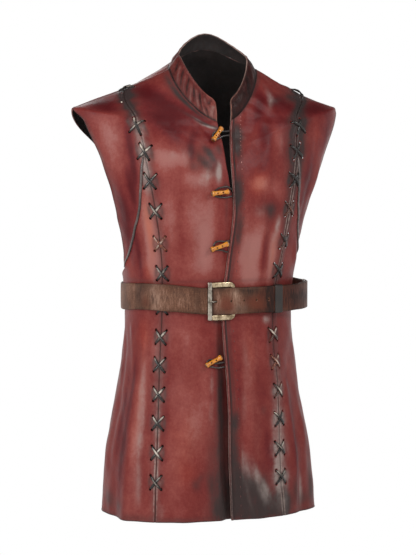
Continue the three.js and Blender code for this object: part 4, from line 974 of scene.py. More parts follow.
def leather_look(name, stops, warm, stain, worn, rim, rough, gathered=0.0):
    """Dyed and airbrushed leather: a clouded base colour, stains with painted shade, rubbed places with
    painted sheen, pale lines of painted highlight and fine grain. Gathered leather also has a net of small
    puckers, lighter on their crests and darker in their valleys, which is painted light and shade."""
    look = Look(name, Specular_IOR_Level=0.12)
    cloud, mottle, wisp, fleck, brushed = (look.noise(*noise) for noise in LEATHER_NOISES.values())
    level = look.sum((look.value("tone"), 0.55), (cloud, 0.3), (mottle, 0.26), (wisp, 0.24))
    level = look.sum((level, 1.0), (brushed, 0.16), (fleck, 0.2), (0.5, -0.24))
    if gathered:
        pucker = look.noise(*PUCKERS)
        level = look.sum((level, 1.0), (pucker, gathered), (0.5, -gathered))
    colour = look.ramp(look.spread(level, -0.1, 1.02), *stops)
    warmth = look.sum((look.value("warm"), 0.8), (cloud, 0.3))
    colour = look.mix(look.spread(warmth, 0.2, 1.1, 0.0, 0.7), colour, look.ramp(level, *warm))
    patchy = look.spread(look.sum((mottle, 0.5), (brushed, 0.4), (wisp, 0.1)), 0.34, 0.66, 0.45, 1.1)
    smoky = look.spread(look.sum((mottle, 0.25), (wisp, 0.25), (brushed, 0.5)), 0.32, 0.68, 0.65, 1.1)
    # The stain carries painted shade too, the worn painted sheen, and the rim painted highlights.
    colour = look.paint(colour, "stain", smoky, (-0.15, 1.15, -0.03, 0.93), stain)
    colour = look.paint(colour, "worn", patchy, (0.0, 1.2, 0.0, 0.75), worn)
    colour = look.paint(colour, "rim", look.over_noise(wisp, 0.45, 1.1), (0.05, 0.95, 0.0, 0.85), rim)
    grain = look.cells(GRAIN)
    colour = look.mix(look.spread(grain, 0.0, 0.2, 0.1, 0.0), colour, srgb(stain))
    gloss = look.sum((mottle, 0.5), (wisp, 0.3), (cloud, 0.2))
    normal = look.bump(look.noise(42, 3.0, 0.55, 0.6), 2.4, 0.5)
    normal = look.bump(look.noise(12, 4.0, 0.6, 0.5), 0.4, 0.4, normal)
    if gathered:
        normal = look.bump(pucker, 1.4, 0.8, normal)
    normal = look.bump(look.spread(grain, 0.0, 0.12), 0.05, 0.5, normal)
    return look.set(Base_Color=colour, Roughness=look.spread(gloss, 0.25, 0.75, *rough), Normal=normal)


def plain_leather_look(name, dark, light, rough, size=5.0, coat=0.0):
    """Leather with no painted wear: a cut edge, a flesh side or a cord."""
    look = Look(name, Coat_Weight=coat, Coat_Roughness=0.25)
    fibre = look.noise(size, 4.0, 0.65, 0.3)
    cloud = look.noise(size * 6, 2.0)
    colour = look.mix(look.spread(look.sum((fibre, 0.6), (cloud, 0.5)), 0.35, 0.8), srgb(dark), srgb(light))
    normal = look.bump(look.noise(size * 0.3, 3.0, 0.6), 0.25, 0.6)
    uneven = look.over_noise(fibre, rough - 0.08, rough + 0.08)
    return look.set(Base_Color=colour, Roughness=uneven, Normal=normal)


def thong_look():
    """Waxed black thong, with some strands worn to a red brown and a pale highlight painted on the crests."""
    look = Look("thong", Specular_IOR_Level=0.35, Coat_Weight=0.2, Coat_Roughness=0.2)
    streak = look.noise(2.2, 4.0, 0.6)
    patch = look.noise(12, 2.0)
    black = look.mix(look.spread(streak, 0.35, 0.75), srgb("120e0d"), srgb("2e2521"))
    brown = look.mix(look.spread(streak, 0.35, 0.75), srgb("4a2218"), srgb("94533a"))
    reddened = look.spread(look.sum((look.value("tint"), 1.0), (patch, 0.5)), 0.55, 1.1)
    colour = look.mix(reddened, black, brown)
    shine = look.sum((look.value("crest"), 1.0), (streak, 0.5), (patch, 0.3))
    # A pale highlight is painted on the strands' crests.
    colour = look.mix(look.spread(shine, 0.7, 1.45, 0.0, 0.9), colour, srgb("d8c8b8"))
    normal = look.bump(look.noise(1.1, 3.0, 0.6), 0.2, 0.5)
    return look.set(Base_Color=colour, Roughness=look.over_noise(patch, 0.2, 0.42), Normal=normal)


# The belt's marks in the order they are laid: the value, how it is broken up from least to most, where it is
# full, how much it covers and its colour.
BELT_PAINTS = [
    ["red", 0.6, 1.1, 1.0, 0.85, "5e2a1b"],
    ["pale", 0.3, 1.2, 1.1, 0.8, "a48573"],
    ["dark", 0.5, 1.15, 1.1, 0.92, "1c1310"],
]


def belt_look():
    """Harness leather worn brown and tan, redder where it was covered, with some highlights painted pale."""
    look = Look("belt_leather", Specular_IOR_Level=0.14, Coat_Weight=0.03, Coat_Roughness=0.35)
    streak = look.noise(7, 5.0, 0.7, 0.2, (0.4, 0.4, 2.6))
    speck = look.noise(2.2, 4.0, 0.65)
    cloud = look.noise(36, 3.0, 0.5)
    level = look.sum((streak, 0.5), (speck, 0.3), (cloud, 0.35))
    colour = look.ramp(look.spread(level, 0.3, 0.88), (0.0, "2e1a14"), (0.45, "62402f"), (1.0, "947060"))
    for key, least, most, full, cover, code in BELT_PAINTS:
        colour = look.paint(colour, key, look.over_noise(streak, least, most), (0.0, full, 0.0, cover), code)
    normal = look.bump(look.noise(14, 4.0, 0.6), 0.8, 0.4)
    normal = look.bump(look.noise(1.6, 4.0, 0.65), 0.3, 0.6, normal)
    return look.set(Base_Color=colour, Roughness=look.over_noise(streak, 0.4, 0.62), Normal=normal)


def metal_look(name, dark, light, low, high):
    """Handled metal, satin, with a thin tarnish in patches."""
    look = Look(name, Metallic=1.0)
    brushed = look.noise(1.2, 4.0, 0.6, 0.0, (1, 1, 5))
    tarnish = look.noise(13, 3.0, 0.55, 0.4)
    level = look.sum((brushed, 0.25), (tarnish, 0.75))
    colour = look.mix(look.spread(level, 0.36, 0.6), srgb(dark), srgb(light))
    normal = look.bump(brushed, 0.04, 0.35)
    normal = look.bump(look.noise(6, 2.0), 0.2, 0.25, normal)
    return look.set(Base_Color=colour, Roughness=look.spread(tarnish, 0.35, 0.65, high, low), Normal=normal)


def horn_look():
    """Amber horn, browner at the ends and round the holes."""
    look = Look("horn", Coat_Weight=0.5, Coat_Roughness=0.2)
    streak = look.noise(5, 4.0, 0.6, 1.2)
    speck = look.noise(1.8, 3.0, 0.6)
    colour = look.ramp(streak, (0.25, "8c4a0c"), (0.5, "c47816"), (0.75, "de9a30"))
    browned = look.sum((look.value("end"), 1.0), (streak, 0.4), (speck, 0.3))
    colour = look.mix(look.spread(browned, 0.5, 1.25, 0.0, 0.92), colour, srgb("3c1a0a"))
    normal = look.bump(look.noise(3.0, 3.0, 0.6), 0.35, 0.5)
    return look.set(Base_Color=colour, Roughness=look.over_noise(speck, 0.25, 0.45), Normal=normal)


VEST_LEATHER = leather_look(
    "vest_leather",
    ((0.0, "4d0f13"), (0.25, "631e1f"), (0.5, "742d29"), (0.75, "85413b"), (1.0, "96605a")),
    ((0.1, "5a1412"), (0.5, "8b3023"), (0.9, "b06048")),
    "302c2b", "9a8c86", "9c8880", (0.32, 0.48),
)
COLLAR_LEATHER = leather_look(
    "collar_leather",
    ((0.0, "260b0c"), (0.3, "441717"), (0.6, "652a27"), (0.85, "87453f"), (1.0, "a3685f")),
    ((0.1, "3c1010"), (0.5, "642820"), (0.9, "8d4c40")),
    "150f0e", "9a8078", "a8705f", (0.28, 0.45), gathered=0.35,
)
FLESH_SIDE = plain_leather_look("flesh_side", "120c0b", "251815", 0.85)
EDGE_DARK = plain_leather_look("edge_dark", "2b1a18", "6a423b", 0.6, 3.0)
EDGE_PALE = plain_leather_look("edge_pale", "5f4540", "a2867c", 0.5, 3.0)
CUT_LOOKS = [FLESH_SIDE, EDGE_DARK, EDGE_PALE]
PIPING_LOOK = plain_leather_look("piping_leather", "2a1f1d", "6d5a54", 0.36, 6.0, 0.3)
THONG_LOOK = thong_look()
LOOP_LOOK = plain_leather_look("loop_cord", "181211", "3d302b", 0.38, 4.0, 0.3)
STITCH_LOOK = plain_leather_look("stitch_thread", "8f4d47", "bd857a", 0.6, 3.0)
STITCH_DULL = plain_leather_look("stitch_dull", "3d1a19", "6d3935", 0.6, 3.0)
BELT_LOOK = belt_look()
KEEPER_LOOK = plain_leather_look("keeper_leather", "120d0a", "2e241d", 0.55, 5.0, 0.04)
BRASS = metal_look("brass", "7d6a52", "cbb798", 0.26, 0.4)
STEEL = metal_look("steel", "5f574e", "aea497", 0.25, 0.42)
HORN = horn_look()

# ---- panels


def columns_between(rows, start, end, near_start, near_end):
    """A panel's columns: their angles at each row, and their distances from its two edges. They crowd towards
    the edges, and a row whose edges nearly meet squeezes them."""
    low, high = np.minimum(start(rows), end(rows)), np.maximum(start(rows), end(rows))
    first, last = (start, end) if start(rows[0]) <= end(rows[0]) else (end, start)
    low, high = low + half_gap(first, rows), high - half_gap(last, rows)
    slack = np.minimum(high - low - LEAST_TURN, 0) / 2
    low, high = low + slack, high - slack
    share = np.linspace(0, 1, RING_SAMPLES)
    angles = low[:, None] + (high - low)[:, None] * share
    steps = np.linalg.norm(np.diff(body.plain(angles, rows[:, None]), axis=1), axis=-1)
    travel = np.hstack([np.zeros((len(rows), 1)), np.cumsum(steps, axis=1)])
    width = travel[:, -1]
    reach = near_start[-1] + near_end[-1]
    middle = max(3, int((width.max() - reach) / COLUMN_STEP))
    spots, found = [], []
    for k in range(len(rows)):
        squeeze = min(1.0, MOST_SQUEEZE * width[k] / reach)
        flat = np.linspace(near_start[-1] * squeeze, width[k] - near_end[-1] * squeeze, middle + 1)[1:-1]
        ends = near_start * squeeze, width[k] - near_end[::-1] * squeeze
        spots.append(np.concatenate([ends[0], flat, ends[1]]))
        found.append(np.interp(spots[-1], travel[k], angles[k]))
    spots = np.array(spots)
    return np.array(found), spots, width[:, None] - spots


def at_edge(kind, column, distance):
    """What a kind of edge adds to a column of the edge table at each distance from it."""
    total = np.zeros(np.shape(distance))
    for row in read_rows(EDGE_COLUMNS, EDGES[kind]):
        total += row[column] * bump(distance - row["at"], row["half"])
    return total


def wall(outer, inner, bulge):
    """Closes two like grids of points into one wall whose edge bulges. Returns the points, the faces, each
    face's part of the wall (0 outer, 1 inner, then 2 to 5 bottom, right, top and left) and the grid places
    that the edge's own points lie beside."""
    rows, columns = outer.shape[:2]
    number = np.arange(rows * columns).reshape(rows, columns)
    quads = np.stack([number[:-1, :-1], number[:-1, 1:], number[1:, 1:], number[1:, :-1]], axis=-1)
    quads = quads.reshape(-1, 4)
    border = [(0, c) for c in range(columns - 1)] + [(r, columns - 1) for r in range(rows - 1)]
    border += [(rows - 1, c) for c in range(columns - 1, 0, -1)] + [(r, 0) for r in range(rows - 1, 0, -1)]
    border = np.array(border)
    sides = [2] * (columns - 1) + [3] * (rows - 1) + [4] * (columns - 1) + [5] * (rows - 1)
    inward = np.clip(border, 1, [rows - 2, columns - 2])
    r, c = border.T
    away = unit(outer[r, c] - outer[inward[:, 0], inward[:, 1]])
    rim = (outer[r, c] + inner[r, c]) / 2 + away * bulge
    points = np.vstack([outer.reshape(-1, 3), inner.reshape(-1, 3), rim])
    a, b = number[r, c], np.roll(number[r, c], -1)
    count = rows * columns
    ra = 2 * count + np.arange(len(border))
    rb = np.roll(ra, -1)
    faces = np.vstack([
        quads, quads[:, ::-1] + count,
        np.stack([b, a, ra, rb], axis=-1), np.stack([a + count, b + count, rb, ra], axis=-1),
    ])
    parts = [0] * len(quads) + [1] * len(quads) + sides + sides
    return points, faces, np.array(parts), border


def wall_values(values, border):
    """Grid values carried to a wall's outer, inner and edge points."""
    r, c = border.T
    return {
        key: np.concatenate([value.ravel(), value.ravel(), value[r, c]]) for key, value in values.items()
    }


def rows_between(low, high):
    count = int(round((high - low) / ROW_STEP))
    return np.unique([*np.linspace(low, high, count + 1), *(low + END_ROWS), *(high - END_ROWS)])


def panel(name, low, high, start, end, edges, looks=(2, 2, 2, 2), near_end=NEAR_EDGE, offset=None):
    """A shell from low to high, between two seams. edges are the shapes of its left, right, bottom and top
    edge as seen from outside, and looks the material slots of its bottom, right, top and left cut edge."""
    rows = rows_between(low, high)
    angles, from_left, from_right = columns_between(rows, start, end, NEAR_EDGE, near_end)
    along = np.broadcast_to(rows[:, None], angles.shape)
    out = relief(angles, along)
    distances = from_left, from_right, along - low, high - along
    for kind, distance in zip(edges, distances):
        out = out + at_edge(kind, "out", distance)
    if offset is not None:
        out = out + offset(angles, along)
    outer, inner = body.point(angles, along, out), body.point(angles, along, out - LEATHER)
    points, faces, parts, border = wall(outer, inner, EDGE_BULGE)
    slots = np.array([0, 1, *looks])[parts]
    values = wear_and_painted_light(angles, along)
    # The edges add a painted highlight on the rim and stain with painted shade in gaps and grooves.
    for kind, distance in zip(edges, distances):
        values["rim"] = values["rim"] + at_edge(kind, "rim", distance)
        values["stain"] = np.maximum(values["stain"], at_edge(kind, "stain", distance))
    return make_mesh(name, points, faces, [VEST_LEATHER, *CUT_LOOKS], slots, wall_values(values, border))


def surface_out(angle, along):
    """How far the leather's face stands out of the form at a spot."""
    return float(relief(np.array([angle]), np.array([along]))[0])


def strand_ends(side, lace):
    """The four holes of a cross, as angle and distance along, in the order low left, low right, top left,
    top right round the surface."""
    seat = float(lace_angle(side, lace["along"])), lace["along"]
    around, up, _ = body.directions(*seat)
    spots = [
        body.reach(*seat, around * (w * lace["width"] / 2) + up * (h * lace["height"] / 2))
        for h in (-1, 1) for w in (-1, 1)
    ]
    return [tuple(map(float, spot)) for spot in spots]


def lace_drill(angle, along):
    around, up, outward = body.directions(angle, along)
    ring = LACE_HOLE["radius"] * turned(circle(14), around, up)
    middle = body.point(angle, along, surface_out(angle, along))
    return tube([middle + ring + outward * depth for depth in (-LACE_HOLE["depth"], LACE_HOLE["depth"])])


lace_drills = {-1: Bundle(), 1: Bundle()}
for side, drills in lace_drills.items():
    for lace in laces(side):
        for spot in strand_ends(side, lace):
            drills.add(*lace_drill(*spot))


front_right = panel(
    "shell_front_right", 0, NECK, partial(lace_angle, -1), right_edge, ("laced", "under", "plain", "plain"),
    near_end=NEAR_ROLL, offset=roll_in,
)
front_left = panel(
    "shell_front_left", 0, NECK, left_edge, partial(lace_angle, 1), ("rim", "laced", "plain", "plain"),
    looks=(2, 2, 2, 3),
)
# Each panel with its name in the model and the side whose lacing it carries, 0 for both.
vest_panels = [(front_right, "front_right", -1), (front_left, "front_left", 1)]
for side, hand in HANDS.items():
    piece = panel(
        f"shell_side_{hand}", 0, WING_POINT - 1.5, partial(lace_angle, side), partial(side_end, side),
        (*("seam", "laced")[::-side], "plain", "under"),
    )
    vest_panels.append((piece, f"side_{hand}", side))
    piece = panel(
        f"shell_wing_{hand}", WING_FOOT + 1, SHOULDER_LACE[side] - 1, partial(pipe_angle, side),
        partial(armhole_front, side), (*("plain", "seam")[::-side], "under", "under"),
    )
    vest_panels.append((piece, f"wing_{hand}", side))
back = panel(
    "shell_back", 0, NECK, back_start, lambda along: 360 - back_start(along),
    ("seam", "seam", "plain", "plain"),
)
vest_panels.append((back, "back", 0))
for piece, node, side in vest_panels:
    for laced in ((side,) if side else (-1, 1)):
        punch(piece, lace_drills[laced])
    lengths = (node, f"skirt_{node}") if node in LONG_PANELS else (node,)
    finish_piece(piece, "vest_leather", *lengths)


# ---- collar
def collar_piece():
    """The stand collar: a gathered band with a stitched edge and rounded front corners."""
    share = np.unique([*np.linspace(0, 1, 25), *COLLAR_END_ROWS])
    grid_angle, grid_along, grid_edge = [], [], []
    for part in share:
        base = part * COLLAR["height"]
        left = collar.angle_across(COLLAR["left"] + NEAR_CORNER, base)
        right = 360 + collar.angle_across(COLLAR["right"] - NEAR_CORNER, base)
        middle = np.linspace(left[-1], right[-1], 201)[1:-1]
        angles = np.concatenate([left, middle, right[::-1]])
        edge = np.concatenate([NEAR_CORNER, np.full(len(middle), FAR), NEAR_CORNER[::-1]])
        away = np.clip(1 - edge / COLLAR["corner"], 0, 1)
        top = COLLAR["height"] - COLLAR["corner"] * (1 - np.sqrt(1 - away**2))
        grid_angle.append(angles)
        grid_along.append(top * part)
        grid_edge.append(np.minimum(edge, (1 - part) * top))
    angle, along, edge = map(np.array, (grid_angle, grid_along, grid_edge))
    rise = np.broadcast_to(share[:, None], angle.shape)
    gathers = GATHER_HEIGHT * crease_out(COLLAR_CREASES, collar, angle, along)
    out = COLLAR["bulge"] * np.sin(math.pi * rise) + gathers
    ripple = np.sin(np.radians(angle * COLLAR_GRAIN["turns"] + along * COLLAR_GRAIN["up"]))
    out = out + COLLAR_GRAIN["out"] * ripple
    for height, at, half in COLLAR_ROLL:
        out = out + height * bump(edge - at, half)
    outer = collar.point(angle, along, out)
    inner = collar.point(angle, along, out - COLLAR["leather"])
    points, faces, parts, border = wall(outer, inner, COLLAR["edge"])
    turn = within_turn(angle)
    left_dark = np.where(turn > 0, 1.0 - 0.5 * smooth((turn - 60) / 80), 0.2)
    front = hill(turn + 17, 9)  # the paler front corner on the wearer's right
    # Painted shade joins the stain at the foot and in the gathers' valleys; a highlight is painted on crests.
    values = {
        "stain": left_dark + 1.1 * hill(along, 3.6) + 0.75 * np.clip(-gathers, 0, 1),
        "worn": 0.4 * front * (along < 26) + 0.45 * np.clip(gathers, 0, 1) * np.where(turn > 0, 0.8, 1.0),
        "tone": 0.3 * front + 0.05,
        "warm": 0.5 + 0 * angle,
        "rim": 0.75 * bump(edge - 1.2, 1.7) * (0.3 + 0.7 * hill(turn, 40)),
    }
    piece = make_mesh(
        "shell_collar", points, faces, [COLLAR_LEATHER, *CUT_LOOKS],
        np.array([0, 1, 2, 3, 3, 3])[parts], wall_values(values, border),
    )
    return finish_piece(piece, "collar_leather", "collar")


collar_shell = collar_piece()


# ---- pieces laid on the leather
def laid_tube(surface, route, sections):
    """A tube over a surface. route is [angle, along, out] for its middle line and sections the [across, out]
    rings round it."""
    route = np.asarray(route, float)
    middle = surface.point(route[:, 0], route[:, 1], route[:, 2])
    ahead = unit(np.gradient(middle, axis=0))
    outward = surface.outward(route[:, 0], route[:, 1])
    across = unit(np.cross(ahead, outward))
    over = np.cross(across, ahead)
    return tube(middle[:, None] + turned(np.asarray(sections, float), across[:, None], over[:, None]))


def smooth_route(stops, parts):
    """A smooth curve through a route's stops, with this many parts between two of them."""
    stops = np.asarray(stops, float)
    at = np.arange(len(stops))
    fine = np.linspace(0, len(stops) - 1, parts * (len(stops) - 1) + 1)
    return np.stack([curve(at, stops[:, k])(fine) for k in range(stops.shape[1])], axis=-1)


rng = np.random.default_rng(11)


def strand(low, high, over, lift, twist, gloss, bright):
    """One thong from hole to hole: its points and faces, and how strong the highlight painted on its crest is
    at each point.
    """
    route = []
    for row in read_rows(STRAND_COLUMNS, STRAND):
        at = row["share"]
        spot = [low[k] + (high[k] - low[k]) * (at + 1) / 2 for k in (0, 1)]
        rise = over * (1 - abs(at)) ** 0.8 + lift * (1 - abs(at) ** 3)
        route.append([*spot, row["out"] + rise + surface_out(*spot), row["width"]])
    fine = smooth_route(route, 3)
    sections, crest = [], []
    for share, width in zip(np.linspace(-1, 1, len(fine)), fine[:, 3]):
        turn = twist * math.cos(math.pi * share / 2)
        c, s = math.cos(turn), math.sin(turn)
        ring = rounded(width, THONG_THICK, 12, 2.4)
        sections.append(ring @ np.array([[c, s], [-s, c]]))
        top = np.clip(ring[:, 1] / THONG_THICK * 2, 0, 1) ** 2
        crest.append(top * gloss * (0.25 + 0.75 * math.exp(-(((share - bright) / 0.45) ** 2))))
    points, faces = laid_tube(body, fine[:, :3], sections)
    return points, faces, np.concatenate([np.ravel(crest), [0, 0]])


def inside_run(low, high):
    """The same thong behind the leather, from the lower hole to the upper one."""
    route = []
    for share in np.linspace(-INSIDE["past"], 1 + INSIDE["past"], 7):
        spot = [low[k] + (high[k] - low[k]) * share for k in (0, 1)]
        route.append([*spot, INSIDE["out"] + surface_out(*spot)])
    ring = rounded(INSIDE["width"], INSIDE["thick"], 10, 3)
    return laid_tube(body, route, np.broadcast_to(ring, (len(route), *ring.shape)))


def thong_end(angle, along):
    """The tip of a thong that just shows in its hole, with a pale glint painted on it."""
    around, up, outward = body.directions(angle, along)
    middle = body.point(angle, along, surface_out(angle, along))
    ring = turned(rounded(1, 1, 12, 2), around, up)
    return tube([middle + outward * out + width * ring for out, width in THONG_TIP])


for side, hand in HANDS.items():
    for k, lace in enumerate(laces(side), 1):
        low_left, low_right, top_left, top_right = strand_ends(side, lace)
        cross = Bundle()
        tint = RED_CROSSES.get((side, k), 0.0)
        # How strong the highlight painted on each strand's crest is.
        gloss = FAINT_HIGHLIGHT_CROSSES.get((side, k), 1.0)
        for (low, high), over in (((low_left, top_right), 0.0), ((low_right, top_left), THONG_OVER)):
            shade = float(np.clip(tint + rng.uniform(-0.15, 0.15), 0, 1))
            twist, bright = rng.uniform(-0.4, 0.4), rng.uniform(-0.1, 0.8)
            shine = gloss * rng.uniform(0.6, 1.0)
            *shape, crest = strand(low, high, over, lace["lift"], twist, shine, bright)
            cross.add(*shape, tint=shade, crest=crest)
        for low, high in ((low_left, top_left), (low_right, top_right)):
            cross.add(*inside_run(low, high), tint=0.0, crest=0.0)
        if (side, k) == SHOULDER_END["cross"]:
            cross.add(*thong_end(SHOULDER_END["angle"], SHOULDER_END["along"]), tint=0.0, crest=1.0)
        finish_piece(cross.piece(f"thong_{hand}_{k}", [THONG_LOOK]), "thong", f"lace_{hand}_{k}")

for side, hand in HANDS.items():
    heights = np.arange(WING_FOOT + 2, PIPING["end"], 3.0)
    fade = smooth((heights - WING_FOOT) / 30) * smooth((PIPING["end"] - heights) / 20)
    route = []
    for h in heights:
        angle = float(pipe_angle(side, h))
        route.append([angle, h, surface_out(angle, h) + PIPING["height"] / 2 - PIPING["sunk"]])
    sections = [rounded(PIPING["width"], PIPING["height"], 12, 2.2) * (0.35 + 0.65 * f) for f in fade]
    cord = make_mesh(f"cord_{hand}", *laid_tube(body, route, sections), [PIPING_LOOK])
    finish_piece(cord, "piping_leather", f"piping_{hand}")


def stitches():
    """The row of stitches that holds the left front's facing, a thread's bump each."""
    row = Bundle()
    for h in np.arange(STITCHES["low"], STITCHES["high"], STITCHES["pitch"]):
        if abs(h - CALM["along"]) < STITCHES["off_belt"]:
            continue
        route = []
        for at in np.linspace(-0.5, 0.5, len(STITCH_ENDS)):
            height = h + at * STITCHES["length"]
            angle = float(body.angle_across(seam["edge_left"](height) + STITCHES["inset"], height))
            lift = 0.35 * math.cos(math.pi * at) - 0.1
            route.append([angle, height, surface_out(angle, height) + lift])
        sections = [rounded(STITCHES["width"] * e * 1.4, STITCHES["width"] * e, 8, 2) for e in STITCH_ENDS]
        row.add(*laid_tube(body, route, sections), look=0 if h >= STITCHES["pale_from"] else 1)
    return row.piece("stitches", [STITCH_LOOK, STITCH_DULL])


finish_piece(stitches(), "thong")


# ---- toggles
def toggle_seat(toggle):
    """The angle of a toggle and the ways round, up, along it and out of the leather there."""
    angle = float(body.angle_across(toggle["across"], toggle["along"]))
    around, up, outward = body.directions(angle, toggle["along"])
    tilt = math.radians(toggle["tilt"])
    lengthways = around * math.cos(tilt) + up * math.sin(tilt)
    return angle, around, up, lengthways, outward


def toggle_piece(k, toggle):
    """A turned horn toggle, a little uneven, with its two holes."""
    angle, _, _, lengthways, outward = toggle_seat(toggle)
    beside = np.cross(outward, lengthways)
    middle = body.point(angle, toggle["along"], TOGGLE_OUT)
    fine = smooth_route(TOGGLE_PROFILE, 2)
    turn = 2 * math.pi * np.arange(24) / 24
    rings = []
    for share, radius in fine:
        uneven = 1
        for height, waves, shift, lean in TOGGLE_UNEVEN:
            uneven = uneven + height * np.sin(waves * turn + shift * k + lean * share)
        bow = 0.5 * (share * share - 0.5)
        centre = middle + lengthways * (share * toggle["length"] / 2) + outward * bow
        rings.append(centre + turned((radius * uneven)[:, None] * circle(24), beside, outward))
    points, faces = tube(rings)
    lengths = (points - middle) @ lengthways
    off = np.abs(np.abs(lengths) - TOGGLE_HOLES["apart"] / 2)
    front = np.clip((points - middle) @ outward / TOGGLE_BROWN["depth"], 0, 1)
    end = np.abs(lengths) / (toggle["length"] / 2) - TOGGLE_BROWN["from"]
    end = smooth(end / (1 - TOGGLE_BROWN["from"]))
    hole = front * bump(off, TOGGLE_BROWN["hole_half"])
    browned = np.clip(TOGGLE_BROWN["ends"] * end + TOGGLE_BROWN["holes"] * hole, 0, 1)
    piece = make_mesh(f"horn_{k}", points, faces, [HORN], values={"end": browned})
    holes = Bundle()
    ring = TOGGLE_HOLES["diameter"] / 2 * turned(circle(12), lengthways, beside)
    for way in (-1, 1):
        centre = middle + lengthways * (way * TOGGLE_HOLES["apart"] / 2)
        ends = -TOGGLE_HOLES["depth"], TOGGLE_HOLES["depth"]
        holes.add(*tube([centre + ring + outward * end for end in ends]))
    punch(piece, holes)
    return finish_piece(piece, "horn", f"toggle_{k}")


def knot(bundle, angle, along, out, size, turns):
    """A small lump of wound cord lying on the leather."""
    stops = []
    around, up, outward = body.directions(angle, along)
    middle = body.point(angle, along, out)
    for at in np.linspace(0, 1, 26):
        turn = 2 * math.pi * turns * at
        reach = size * (0.55 + 0.45 * math.sin(math.pi * at))
        wound = around * (reach * math.cos(turn)) + outward * (0.6 * reach * math.sin(turn))
        stops.append(middle + wound + up * (size * 1.7 * (at - 0.5)))
    stops = np.array(stops)
    ahead = unit(np.gradient(stops, axis=0))
    side = unit(np.cross(ahead, unit(stops - middle) + outward * 0.1))
    over = np.cross(side, ahead)
    ring = rounded(*KNOT_CORD, 8, 2)
    bundle.add(*tube(stops[:, None] + turned(ring, side[:, None], over[:, None])))


def tie_piece(k, toggle):
    """The cord that ties a toggle down: a post under each hole and the knot."""
    angle, _, _, lengthways, outward = toggle_seat(toggle)
    tie = Bundle()
    base = body.point(angle, toggle["along"], surface_out(angle, toggle["along"]))
    beside = np.cross(outward, lengthways)
    ring = rounded(TIE["width"], TIE["width"], 10, 2)
    for way in (-1, 1):
        lean = way * TOGGLE_HOLES["apart"] / 2
        foot = toggle["tie_at"] + way * min(toggle["tie_half"], TIE["most_half"])
        outs = [*TIE_OUTS, TOGGLE_OUT + TIE["rise"]]
        leans = [foot, foot, (foot + lean) / 2, lean, lean]
        path = np.array([base + lengthways * at + outward * out for out, at in zip(outs, leans)])
        tie.add(*tube(path[:, None] + turned(ring, lengthways, beside)))
    foot_angle, foot_along = body.reach(angle, toggle["along"], lengthways * toggle["tie_at"])
    knot_out = surface_out(angle, toggle["along"]) + TIE["knot_out"]
    knot(tie, float(foot_angle), float(foot_along), knot_out, TIE["knot_size"], TIE["knot_turns"])
    return finish_piece(tie.piece(f"tie_{k}", [LOOP_LOOK]), "thong", f"toggle_tie_{k}")


def loop_piece(k, toggle, points):
    """The cord loop from the left front's edge round a toggle's tie."""
    angle, around, up, _, _ = toggle_seat(toggle)
    places = [list(map(float, body.reach(angle, toggle["along"], around * x + up * y))) for x, y in points]

    def edge(height):
        return seam["edge_left"](height) - LOOP["end_gap"]

    for end in (0, -1):
        height = places[end][1]
        places[end] = [float(body.angle_across(edge(height), height)), height]
    route = []
    for a, height in places:
        across = body.radius(a, height) * math.sin(math.radians(a))
        short = float(np.clip((edge(height) - across) / LOOP["sink_length"], 0, 1))
        route.append([a, height, LOOP["sunk"] + (LOOP["out"] - LOOP["sunk"]) * short])
    fine = smooth_route(route, 6)
    ring = rounded(LOOP["width"], LOOP["width"], 10, 2)
    shape = Bundle()
    shape.add(*laid_tube(body, fine, np.broadcast_to(ring, (len(fine), *ring.shape))))
    if k == LOOP_KNOT["loop"]:
        at, height, out = route[LOOP_KNOT["stop"]]
        knot(shape, at, height, out + LOOP_KNOT["out"], LOOP_KNOT["size"], LOOP_KNOT["turns"])
    return finish_piece(shape.piece(f"loop_{k}", [LOOP_LOOK]), "loop_cord", f"toggle_loop_{k}")


for k, toggle in enumerate(read_rows(TOGGLE_COLUMNS, TOGGLES), 1):
    toggle_piece(k, toggle)
    tie_piece(k, toggle)
    loop_piece(k, toggle, LOOPS[k - 1])


# ---- belt
def belt_radius(angle):
    """The strap's inner face clears the leather above and below it, and lifts off it in places."""
    form = np.max([body.radius(angle, along) for along in BELT_OVER], axis=0)
    turn = within_turn(angle)
    lifts = [
        lift["out"] * bump(turn - lift["angle"], lift["half_width"])
        for lift in read_rows(BELT_LIFT_COLUMNS, BELT_LIFTS)
    ]
    return form + BELT["clear"] + np.max(lifts, axis=0)


def belt_plan(angle):
    angle = np.asarray(angle, float)
    turn = np.radians(angle)
    return np.stack([np.sin(turn), -np.cos(turn)], axis=-1) * belt_radius(angle)[..., None]


def belt_point(angle, up, out):
    """A point from the belt's middle line: up across the strap and out of its inner face."""
    angle, up, out = np.broadcast_arrays(np.asarray(angle, float), up, out)
    rise = BELT_RISE["up"] * bump(within_turn(angle) - BELT_RISE["angle"], BELT_RISE["half_width"])
    ahead = unit(belt_plan(angle + 0.5) - belt_plan(angle - 0.5))
    foot = belt_plan(angle)
    return np.stack([
        foot[..., 0] + out * ahead[..., 1], foot[..., 1] - out * ahead[..., 0], BELT["middle"] + rise + up,
    ], axis=-1)


track_angle = np.arange(TOE_ANGLE - 120, TOE_ANGLE + 380, 0.5)
track_step = np.linalg.norm(np.diff(belt_plan(track_angle), axis=0), axis=-1)
track_distance = np.concatenate([[0], np.cumsum(track_step)])
track_distance -= np.interp(TOE_ANGLE, track_angle, track_distance)


def belt_angle(past):
    """The angle at a distance along the belt past the toe bar."""
    return np.interp(past, track_distance, track_angle)


def past_toe(angle):
    """The distance along the belt past the toe bar at an angle."""
    return np.interp(angle, track_angle, track_distance)


over_heel = BUCKLE["length"] - BUCKLE["toe"] / 2


def strap_out(angle):
    """How far out the strap's inner face stands on its second turn, over the first."""
    path = np.array(BELT_PATH)
    past = past_toe(angle - 360)
    return np.where(angle < 360 + belt_angle(path[0, 0]), path[0, 1], np.interp(past, path[:, 0], path[:, 1]))


